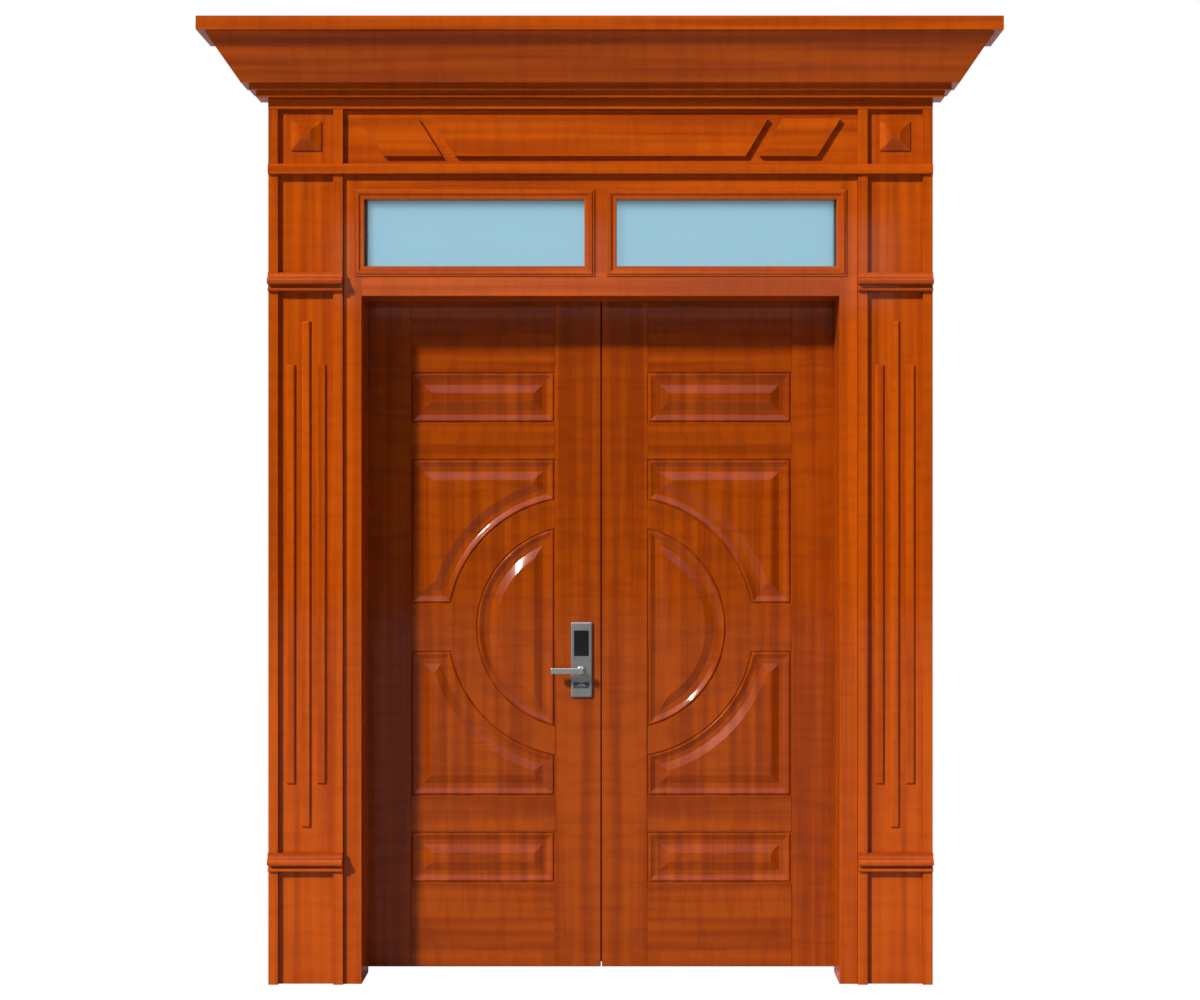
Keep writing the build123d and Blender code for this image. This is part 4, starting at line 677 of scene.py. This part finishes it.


# Leaves: a skin of 1.5 mm steel on each side, pressed with five panels and two seams, on edge channels with a
# board between them. The grain runs up the stiles and panels and across the rails between the panels
# The leaf skins are painted 26 % darker than the film: painted shade of the recess behind the frame
WOOD_PANEL = wood("wood_panel_painted_shade", "uv", 9.0, 0.22, 0.74)
LEAF_BOX = (2.0, 790.5, 18.5, 2253.0)
SEAMS = (154.0, 636.5)
SEAM_HALF, SEAM_D = 1.2, 1.4
CENTRE = (77.0, 1152.4)
DISC_R, CONCAVE_R = 341.6, 431.0
DISC_SEAM, CONCAVE_SEAM = 0.00134, 0.00236  # shares of an arc that lie in the half of a seam
QUARTERS = {1: (1231.0, 1715.6), -1: (1074.0, 589.0)}
TOP_PANEL, FOOT_PANEL = (1836.0, 2006.0), (298.5, 469.0)
RELIEF = [
    (0, 0), (0.6, -0.5), (2.4, -3.3), (3, -3.7), (3.6, -3.3), (6.9, 1.0), (7.6, 1.7), (8.6, 2.0), (10.4, 2.0),
    (11.4, 1.75), (13, 0.9), (17, -1.4), (22, -4.0), (26, -5.5), (28.2, -5.95), (29.5, -6.0), (41.3, -6.0),
    (42.5, -5.8), (43.6, -5.35), (68.2, 5.2), (69.3, 5.65), (70.6, 5.92), (72, 6.0),
]
ROLLED_EDGE = [(0, -1.5), (0.06, -1.1), (0.22, -0.75), (0.44, -0.44), (0.75, -0.22), (1.1, -0.06), (1.5, 0)]


def straight(a, b, near_a=False, near_b=False):
    """Points from a to b, with one more beside each end that touches a seam."""
    a, b = np.array(a), np.array(b)
    step = SEAM_HALF / (SEAMS[1] - SEAMS[0])
    spots = [0.0] + [step] * near_a + [1 - step] * near_b + [1.0]
    return np.array([a + (b - a) * t for t in spots])


def arc(r, start, end, spots):
    """Points on a circle of radius r about CENTRE, with the angle going from start to end."""
    angles = start + (end - start) * np.asarray(spots)
    return np.stack([CENTRE[0] + r * np.cos(angles), CENTRE[1] + r * np.sin(angles)], 1)


def rect_sides(x0, x1, z0, z1):
    """An oblong panel, as a function that gives its four sides at an inset."""

    def sides(d):
        a, b, c, e = oblong((x0, x1), (z0, z1), d)
        return [straight(a, b, True, True), straight(b, c), straight(c, e, True, True), straight(e, a)]

    return sides


def disc_sides(d):
    """The half disc: a chord on x = SEAMS[0] + d and an arc of radius DISC_R - d."""
    r = DISC_R - d
    half = math.acos((SEAMS[0] + d - CENTRE[0]) / r)
    spots = np.concatenate([[0, DISC_SEAM], np.linspace(0, 1, 73)[1:-1], [1 - DISC_SEAM, 1]])
    bend = arc(r, -half, half, spots)
    return [straight(bend[-1], bend[0]), bend]


def quarter_sides(up):
    """A quarter panel whose inner corner is cut by an arc of radius CONCAVE_R + d about CENTRE."""

    def sides(d):
        r = CONCAVE_R + d
        near, far = QUARTERS[up][0] + up * d, QUARTERS[up][1] - up * d
        x0, x1 = SEAMS[0] + d, SEAMS[1] - d
        start = math.asin((near - CENTRE[1]) / r)
        end = up * math.acos((x0 - CENTRE[0]) / r)
        bend = arc(r, start, end, np.concatenate([np.linspace(0, 1, 41)[:-1], [1 - CONCAVE_SEAM, 1]]))
        ring = [
            bend, straight(bend[-1], (x0, far)), straight((x0, far), (x1, far), True, True),
            straight((x1, far), (x1, near)), straight((x1, near), bend[0], True),
        ]
        return ring if up > 0 else [side[::-1] for side in ring[::-1]]

    return sides


PANEL_SIDES = [
    rect_sides(*SEAMS, *TOP_PANEL),
    quarter_sides(1),
    disc_sides,
    quarter_sides(-1),
    rect_sides(*SEAMS, *FOOT_PANEL),
]


def on_seam(x, d):
    """Whether points of an outline with inset d lie on the lines of the two seams."""
    return np.minimum(abs(x - SEAMS[0] - d), abs(x - SEAMS[1] + d)) < 1e-6


def add_rings(skin, sides, profile, shift, seamed):
    """Strips along each side of an outline: point = (x, LEAF_Y - h, z) for each (d, h) of the profile."""
    rows = []
    for d, h in profile:
        row = []
        for side in sides(d):
            high = np.full(len(side), float(h))
            if seamed and d < 1:
                high[on_seam(side[:, 0], d)] = -SEAM_D
            row.append(np.column_stack([side[:, 0], LEAF_Y - high, side[:, 1]]))
        rows.append(row)
    for k in range(len(rows[0])):
        strip = np.stack([row[k] for row in rows])
        skin.grid(strip, strip[..., [0, 2]] + [shift, 0])
    return np.concatenate([side[:-1] for side in rows[-1]])


def make_skin():
    """The right leaf's outer skin: rolled edge, stiles, panels, rails between them and seams."""
    skin = Patches()
    x0, x1, z0, z1 = LEAF_BOX
    add_rings(skin, rect_sides(x0, x1, z0, z1), ROLLED_EDGE, 0, False)
    edge = ROLLED_EDGE[-1][0]
    x0, x1, z0, z1 = x0 + edge, x1 - edge, z0 + edge, z1 - edge
    out = (0, -1, 0)

    def plate(outline, level, shift):
        """A flat part, whose grain runs level on a rail and upright elsewhere."""
        points = [(x, LEAF_Y, z) for x, z in outline]
        skin.flat(points, out, [(z, x + shift) if level else (x + shift, z) for x, z in outline])

    for number, (a, b) in enumerate(((x0, SEAMS[0] - SEAM_HALF), (SEAMS[1] + SEAM_HALF, x1))):
        plate(oblong((a, b), (z0, z1)), False, 900 * number)
    for number, sides in enumerate(PANEL_SIDES):
        field = add_rings(skin, sides, RELIEF, 1700 + 700 * number, True)
        skin.flat(field, out, field[:, [0, 2]] + [1700 + 700 * number, 0])
    a, b = SEAMS[0] + SEAM_HALF, SEAMS[1] - SEAM_HALF
    levels = [(TOP_PANEL[1], z1), (QUARTERS[1][1], TOP_PANEL[0])]
    levels += [(FOOT_PANEL[1], QUARTERS[-1][1]), (z0, FOOT_PANEL[0])]
    for number, (low, high) in enumerate(levels):
        plate(oblong((a, b), (low, high)), True, 5100 + 800 * number)
    upper, disc, lower = quarter_sides(1)(0), disc_sides(0), quarter_sides(-1)(0)
    ring = [upper[4][1:-1], upper[0][:-1], disc[1][1:-1][::-1], lower[4][1:], lower[0][1:-1]]
    plate(np.concatenate(ring), False, 4300)

    def groove(rows, way):
        """Half a seam, from rows of two points in the order of the left seam."""
        half = np.array(rows)[:, ::way]
        skin.grid(half, half[..., [0, 2]])

    # The stile's half of a seam runs full height, and the column's half only beside the plates
    bottom = LEAF_Y + SEAM_D
    for seam, way in ((SEAMS[0], 1), (SEAMS[1], -1)):
        outer, inner = seam - way * SEAM_HALF, seam + way * SEAM_HALF
        groove([[(outer, LEAF_Y, z), (seam, bottom, z)] for z in (z0, z1)], way)
        spans = [((low, low), (high, high)) for low, high in levels]
        if way > 0:
            spans.append(((lower[0][-1][1], lower[0][-2][1]), (disc[1][0][1], disc[1][1][1])))
            spans.append(((disc[1][-1][1], disc[1][-2][1]), (upper[0][-1][1], upper[0][-2][1])))
        else:
            spans.append(((QUARTERS[-1][0],) * 2, (QUARTERS[1][0],) * 2))
        for span in spans:
            groove([[(seam, bottom, a), (inner, LEAF_Y, b)] for a, b in span], way)
    return skin


skin = make_skin()
middle_y = (LEAF_Y + LEAF_BACK) / 2
for face, flip_y in (("outer", None), ("inner", middle_y)):
    for side, flip_x in (("right", False), ("left", True)):
        name = f"skin_{face}_{side}"
        skin.turned(flip_x, flip_y).build(name, WOOD_PANEL, "leaf_" + side, name)
        dress(WOOD_Z, name)
dress(WOOD_Z, "channels_left", "channels_right")
dress(plain("core_board", srgb(206, 178, 130), 0.85, 180.0, 0.0006, 0.4), "core_left", "core_right")


# Hinges, three on each leaf: rolled steel plates whose knuckles turn on a headed pin. One plate is screwed to
# the frame and the other to the leaf, on the room side
STEEL = metal("bolt_steel", srgb(186, 188, 190), 0.28, 1.0, 0.2)
dress(STEEL, "hinge_plates_frame", "hinge_plates_left", "hinge_plates_right", "hinge_pins")


# Lock case with its faceplate: folded from zinc-plated steel, let into the edge of the left leaf and screwed
# there. The latch and the dead bolt in it are drawn steel
dress(ZINC, "lock_case")
dress(STEEL, "latch_bolt", "dead_bolt")


# Outer lock plate: cast zinc alloy, satin plated, with soft edges and two shallow recesses. Screws from the
# room side hold it through the leaf
GREY = metal("lock_grey", srgb(142, 146, 140), 0.34, 0.85, 0.25)
LOCK_X, LOCK_HALF, LOCK_Z = -66.0, 35.0, (920.0, 1170.0)
OUTER_FACE, INNER_DROP, FACE_GAP = 139.0, 10.0, 0.3
READER_X, READER_Z = (-91.0, -41.0), (1057.0, 1143.0)
KEY_BAND_X, KEY_BAND_Z = (-92.5, -39.5), (950.0, 970.0)
SOFT_PLATE = [(0, 0), (0, 0.72), (0.2, 0.8), (0.7, 0.9), (3.2, 0.985), (3.7, 0.996), (4.4, 1.0)]


def xz_ring(x, z, inset, radius, y, steps=4):
    """An oblong with rounded corners, in the plane of one y."""
    ring = rounded(oblong(x, z, inset), max(radius - inset, 0.3), True, steps)
    return np.column_stack([ring[:, 0], np.full(len(ring), float(y)), ring[:, 1]])


def add_layers(piece, rings, front=True, back=False):
    """Closed strips through rings that run anticlockwise seen from outside, and flat ends."""
    strip = np.stack([np.concatenate([ring, ring[:1]]) for ring in rings])
    piece.grid(strip, strip[..., [0, 2]])
    for wanted, ring, way in ((front, rings[-1], -1), (back, rings[0], 1)):
        if wanted:
            piece.flat(ring, (0, way, 0), ring[:, [0, 2]])


def add_slab(piece, x, z, levels, radius=2.0, front=True, back=False):
    """An oblong block that faces outwards, through (inset, y) levels from its back to its front."""
    add_layers(piece, [xz_ring(x, z, inset, radius, y) for inset, y in levels], front, back)


def add_face(piece, x, z, y, holes):
    """A flat outward face with oblong holes, given upwards."""
    spans, low = [], z[0]
    for hole_x, hole_z in holes:
        spans += [(x, (low, hole_z[0])), ((x[0], hole_x[0]), hole_z), ((hole_x[1], x[1]), hole_z)]
        low = hole_z[1]
    for span_x, span_z in spans + [(x, (low, z[1]))]:
        corners = oblong(span_x, span_z)
        piece.flat([(a, y, b) for a, b in corners], (0, -1, 0), corners)


def make_lock_plate(face, holes):
    """A plate from the leaf's face to the given plane, with (x, z, depth) recesses."""
    plate = Patches()
    x = (LOCK_X - LOCK_HALF, LOCK_X + LOCK_HALF)
    levels = [(inset, LEAF_Y + (face - LEAF_Y) * share) for inset, share in SOFT_PLATE]
    add_slab(plate, x, LOCK_Z, levels, 2.5, False)
    edge = SOFT_PLATE[-1][0]
    inner_x, inner_z = (x[0] + edge, x[1] - edge), (LOCK_Z[0] + edge, LOCK_Z[1] - edge)
    add_face(plate, inner_x, inner_z, face, [hole[:2] for hole in holes])
    for hole_x, hole_z, depth in holes:
        add_layers(plate, [xz_ring(hole_x, hole_z, 0, 0.01, face + d, 1) for d in (0, depth)])
    return plate


KEY_BAND_DEPTH, READER_DEPTH = 1.0, 2.0
recesses = [(KEY_BAND_X, KEY_BAND_Z, KEY_BAND_DEPTH), (READER_X, READER_Z, READER_DEPTH)]
plate = make_lock_plate(OUTER_FACE, recesses)
plate.build("lock_plate_outer", GREY, "leaf_left", "lock_plate_outer")


# Key band: dark grey slabs behind the key cover, in the plate's lower recess round the brass key cylinder.
# Their dark grey is painted shadow, the lever's shadow on the plate, and the cover is painted the same grey
PAINTED_SHADOW_GREY = plain("painted_shadow_slate", srgb(52, 58, 64), 0.4)
SHADOW_SLAB_LEVELS = [(0, 140.0), (0, 139.6), (0.2, 139.5)]
strip = Patches()
for shadow_x in ((-92.3, -74.2), (-57.8, -39.7)):
    add_slab(strip, shadow_x, (KEY_BAND_Z[0] + 0.2, KEY_BAND_Z[1] - 0.2), SHADOW_SLAB_LEVELS, 0.5)
strip.build("key_band_painted_shadow", PAINTED_SHADOW_GREY, "leaf_left")
# The key cover's dark grey is painted shadow too
dress(PAINTED_SHADOW_GREY, "key_cover")
dress(metal("brass", srgb(196, 160, 84), 0.3, 1.0, 0.2), "key_cylinder")


# Crescent on the key cover: a thin raised crescent in the levers' bright metal, on the dark cover. It is a
# painted highlight, the cover's upper rim where it catches the light
BRIGHT = metal("lever_grey", srgb(176, 178, 172), 0.26, 0.9, 0.25)
HIGHLIGHT_X, HIGHLIGHT_FOOT, HIGHLIGHT_RISE, HIGHLIGHT_THICK = (-81.0, -51.0), 955.0, 9.5, 4.6
COVER_FACE = 136.5


def highlight_ring(inset, y, steps=14):
    """Arcs z = foot + rise (1 - s^2) below and above, with s from -1 to 1 across the crescent."""
    s = np.linspace(-1, 1, steps + 1)
    x = (HIGHLIGHT_X[0] + HIGHLIGHT_X[1]) / 2 + s * ((HIGHLIGHT_X[1] - HIGHLIGHT_X[0]) / 2 - inset)
    under = HIGHLIGHT_FOOT + inset + (HIGHLIGHT_RISE - HIGHLIGHT_THICK) * (1 - s**2)
    over = HIGHLIGHT_FOOT + 1.0 - inset + (HIGHLIGHT_RISE - 1.0) * (1 - s**2)
    x, z = np.concatenate([x, x[::-1]]), np.concatenate([under, over[::-1]])
    return np.column_stack([x, np.full(len(x), float(y)), z])


# The bright crescent is a painted highlight, built as a thin raised part
painted_highlight = Patches()
add_layers(painted_highlight, [highlight_ring(0, COVER_FACE), highlight_ring(0, COVER_FACE - 0.6), highlight_ring(0.2, COVER_FACE - 1.0)])
painted_highlight.build("key_cover_painted_highlight", BRIGHT, "key_cover")


# Reader window: black glass with rounded edges, glued into the upper recess of the outer plate with a narrow
# gap all round
BLACK = plain("reader_black", srgb(4, 5, 4), 0.12, 900.0, 0.00001, 0.3)
READER_LEVELS = [(0, 141.0), (0, 139.3), (0.15, 139.0), (0.5, 138.84), (0.9, 138.8)]
reader = Patches()
reader_x = (READER_X[0] + FACE_GAP, READER_X[1] - FACE_GAP)
reader_z = (READER_Z[0] + FACE_GAP, READER_Z[1] - FACE_GAP)
add_slab(reader, reader_x, reader_z, READER_LEVELS, 1.2)
reader.build("reader_window", BLACK, "leaf_left", "reader_window")


# Levers, one on each side of the leaf: cast zinc alloy, satin plated. Each is a flat bar on a round neck with
# a domed hub, fixed on the lock's spindle
LEVER_X, LEVER_Z, HUB_R, NECK_R = -68.0, 1010.0, 15, 9.0
LEVER_BAR_X, LEVER_BAR_Z = (-168.0, -58.0), (1000.0, 1020.0)
BAR_BACK, BAR_FACE = 100.0, 86.0


def add_turned(piece, x, z, profile, segments=48):
    """A turned shape on an axis along Y, from (radius, y) points that run outwards."""
    angles = np.linspace(0, 2 * math.pi, segments, endpoint=False)
    way = np.stack([np.cos(angles), np.zeros(segments), np.sin(angles)], 1)
    rings = [way * r + (x, y, z) for r, y in profile]
    add_layers(piece, rings)


def make_lever(start):
    """The outer lever, with a hub that begins at the given y."""
    lever = Patches()
    hub = [
        (HUB_R, start), (HUB_R, start - 3.6), (14.7, start - 5.2), (13.9, start - 6.8), (12.6, start - 8.1),
        (11.0, start - 8.8), (NECK_R, start - 9.0), (NECK_R, BAR_BACK),
    ]
    add_turned(lever, LEVER_X, LEVER_Z, hub)
    back = [(0.6, BAR_BACK), (0.15, BAR_BACK - 0.2), (0, BAR_BACK - 0.7)]
    levels = back + [(0, BAR_FACE + 2), (0.3, BAR_FACE + 1.3), (1.3, BAR_FACE + 0.3), (2.2, BAR_FACE)]
    add_slab(lever, LEVER_BAR_X, LEVER_BAR_Z, levels, 4.0, True, True)
    return lever


make_lever(OUTER_FACE - FACE_GAP).build("lever_outer", BRIGHT, "lever_outer", "lever_outer")
inner_lever = make_lever(OUTER_FACE - INNER_DROP - FACE_GAP)
inner_lever.turned(False, middle_y).build("lever_inner", BRIGHT, "lever_inner", "lever_inner")


# Inner lock plate: cast like the outer one but thicker, with a bay for the cells and two rails for their
# cover, held by two through screws. It is drawn facing outwards and then mirrored to the room side, like the
# cover and the thumbturn
inner_face = OUTER_FACE - INNER_DROP
BAY_X, BAY_Z, BAY_DEPTH = (-77.0, -55.0), (1052.0, 1144.0), 18.0
RAIL_NEAR, RAIL_FAR, RAIL_LIP = 22.3, 25.3, 20.8
plate = make_lock_plate(inner_face, [(BAY_X, BAY_Z, BAY_DEPTH)])
for side in (-1, 1):
    near, far, lip = (LOCK_X + side * reach for reach in (RAIL_NEAR, RAIL_FAR, RAIL_LIP))
    z = (BAY_Z[0] - 5, BAY_Z[1] + 5)
    top = inner_face - 3.1
    add_slab(plate, sorted((near, far)), z, [(0, inner_face), (0, top)], 0.3, False)
    lip_levels = [(0, top), (0, top - 1.1), (0.15, top - 1.4), (0.5, top - 1.5)]
    add_slab(plate, sorted((lip, far)), z, lip_levels, 0.6, True, True)
plate.turned(False, middle_y).build("lock_plate_inner", GREY, "leaf_left", "lock_plate_inner")
dress(STEEL, "lock_screws")


# Battery cover: moulded plastic in the plate's colour, with a thumb ridge near its foot. It slides up in the
# plate's rails, and four cells lie behind it
COVER_HALF, RIDGE_HALF = 22, 10
cover = Patches()
foot = inner_face - FACE_GAP
lid = [(0, foot), (0, foot - 2.0), (0.2, foot - 2.4), (0.6, foot - 2.5)]
ridge = [(0, foot - 2.4), (0, foot - 3.9), (0.2, foot - 4.3), (0.6, foot - 4.5)]
cover_x, cover_z = (LOCK_X - COVER_HALF, LOCK_X + COVER_HALF), (BAY_Z[0] - 4, BAY_Z[1] + 4)
add_slab(cover, cover_x, cover_z, lid, 1.0, True, True)
add_slab(cover, (LOCK_X - RIDGE_HALF, LOCK_X + RIDGE_HALF), (BAY_Z[0] + 4, BAY_Z[0] + 7), ridge, 0.8)
cover.turned(False, middle_y).build("battery_cover", GREY, "battery_cover", "battery_cover")
dress(plain("cell_wrap", srgb(40, 62, 92), 0.35), "battery_cells")


# Thumbturn: zinc alloy, a turned base and an oblong grip with soft edges, cast in one with the spindle that
# drives the dead bolt
KEY_Z, GRIP_HALF_X, GRIP_HALF_Z = 960.0, 4, 15
turn = Patches()
add_turned(turn, LOCK_X, KEY_Z, [(9, foot), (9, foot - 4.0), (8.7, foot - 4.7), (8.0, foot - 5.0)])
grip = [(0, foot - 4.9), (0, foot - 14.8), (0.3, foot - 15.7), (1.2, foot - 16.7), (2.2, foot - 17.0)]
grip_x, grip_z = (LOCK_X - GRIP_HALF_X, LOCK_X + GRIP_HALF_X), (KEY_Z - GRIP_HALF_Z, KEY_Z + GRIP_HALF_Z)
add_slab(turn, grip_x, grip_z, grip, 2.5, True, True)
turn.turned(False, middle_y).build("thumbturn", BRIGHT, "thumbturn", "thumbturn")


# Strike plates and flush bolts of the passive leaf: plated steel plates screwed into its edge, and two drawn
# rods that slide into the transom bar and the floor
dress(ZINC, "strike_plate")
dress(STEEL, "flush_bolt_bodies", "flush_bolt_upper", "flush_bolt_lower")


# Meeting seal: an extruded rubber lip, glued along the passive leaf's edge. The active leaf presses on it
# when both are closed
SEAL_X, SEAL_Y, SEAL_Z = (-1.95, 2.0), (191.0, 199.0), (28.5, 2253.0)
seal = Patches()
add_block(seal, SEAL_X, SEAL_Y, SEAL_Z, "z", 0.8)
seal.build("meeting_seal", RUBBER, "leaf_right", "meeting_seal")


# Floor, sky, lights and camera: a white studio, with the camera where the photograph's stood and a key light
# from the upper left. Floor and sky are white where the camera sees them and dimmer where they light the door
def white_when_seen(net, kind, seen, shader):
    """Plain white for the rays in seen, and the given shader for the others."""
    white = net.add(kind, Color=(1.0, 1.0, 1.0, 1.0), Strength=1.0)
    return net.first(net.add("MixShader"), seen, shader.outputs[0], white.outputs[0])


def make_floor():
    mesh = bpy.data.meshes.new("floor")
    span = (-30.0, 30.0)
    mesh.from_pydata([(x, y, 0) for x, y in oblong(span, span)], [], [(0, 1, 2, 3)])
    material, net, shader = new_material("floor_white")
    place = net.add("TexCoord").outputs["Object"]
    patch = net.noise(place, 3.0, 4.0)
    shade = net.mix(net.span(patch, 0.3, 0.7, 0.0, 0.03), srgb(185, 185, 185), srgb(176, 176, 176))
    net.fill(shader, Base_Color=shade, Roughness=0.9)
    seen = net.add("LightPath").outputs["Is Camera Ray"]
    output = next(n for n in material.node_tree.nodes if n.type == "OUTPUT_MATERIAL")
    net.put(output.inputs[0], white_when_seen(net, "Emission", seen, shader))
    mesh.materials.append(material)
    return link("floor", mesh)


def make_camera():
    data = bpy.data.cameras.new("camera")
    data.lens, data.sensor_width = 69.2, 36.0
    data.shift_x, data.shift_y = -0.0233, 0.0183
    data.dof.use_dof = False
    camera = link("camera", data)
    camera.location = (0.0893, -7.562, 1.505)
    camera.rotation_euler = (math.pi / 2, 0, 0)
    bpy.context.scene.camera = camera


DOOR_MIDDLE = np.array([0.0, 0.0, 1.4])


def place_light(data, place, x, y, z):
    """Puts a light at a place and turns it to shine along (x, y, z)."""
    light = link(data.name, data)
    light.location = place
    light.rotation_euler = (math.pi / 2 + math.atan2(z, math.hypot(x, y)), 0, math.atan2(-x, y))
    return light


def make_area(name, place, size, power):
    """A soft light that is turned to the middle of the door."""
    data = bpy.data.lights.new(name, "AREA")
    data.shape = "RECTANGLE"
    data.size, data.size_y = size
    data.energy = power
    return place_light(data, place, *(DOOR_MIDDLE - place))


def make_sun():
    """Key light from the upper left front."""
    data = bpy.data.lights.new("key", "SUN")
    data.energy = 4.05
    data.angle = math.radians(5)
    place_light(data, (-4, -6, 5), 0.858, 1.0, -0.79)


def make_world():
    world = bpy.data.worlds.new("studio")
    bpy.context.scene.world = world
    world.use_nodes = True
    net = Net(world.node_tree)
    world.node_tree.nodes.clear()
    path = net.add("LightPath").outputs
    seen = net.math("MAXIMUM", path["Is Camera Ray"], path["Is Transmission Ray"])
    way = net.add("TexCoord").outputs["Generated"]
    rise = net.add("SeparateXYZ", Vector=way).outputs[2]
    dome = net.mix(net.span(rise, 0.0, 0.8), (0.04, 0.04, 0.04, 1.0), (0.24, 0.24, 0.24, 1.0))
    mirrored = net.mix(net.span(rise, 0.12, 0.8), (0.01, 0.01, 0.01, 1.0), (2.3, 1.95, 2.6, 1.0))
    sky = net.mix(path["Is Glossy Ray"], dome, mirrored)
    soft = net.add("Background", Color=sky, Strength=1.0)
    surface = white_when_seen(net, "Background", seen, soft)
    net.add("OutputWorld", Surface=surface)


scene = bpy.context.scene
scene.view_settings.view_transform = "Standard"
floor = make_floor()
make_camera()
make_sun()
make_area("fill", (1.5, -9.0, 3.2), size=(5.0, 5.0), power=8).visible_glossy = False
back_light = make_area("back", (3.0, 8.0, 3.5), size=(4.0, 4.0), power=420)
back_light.visible_glossy = False
back_light.visible_transmission = False
make_area("softbox", (0.0, -9.0, 3.35), size=(4.0, 0.6), power=14)
make_world()
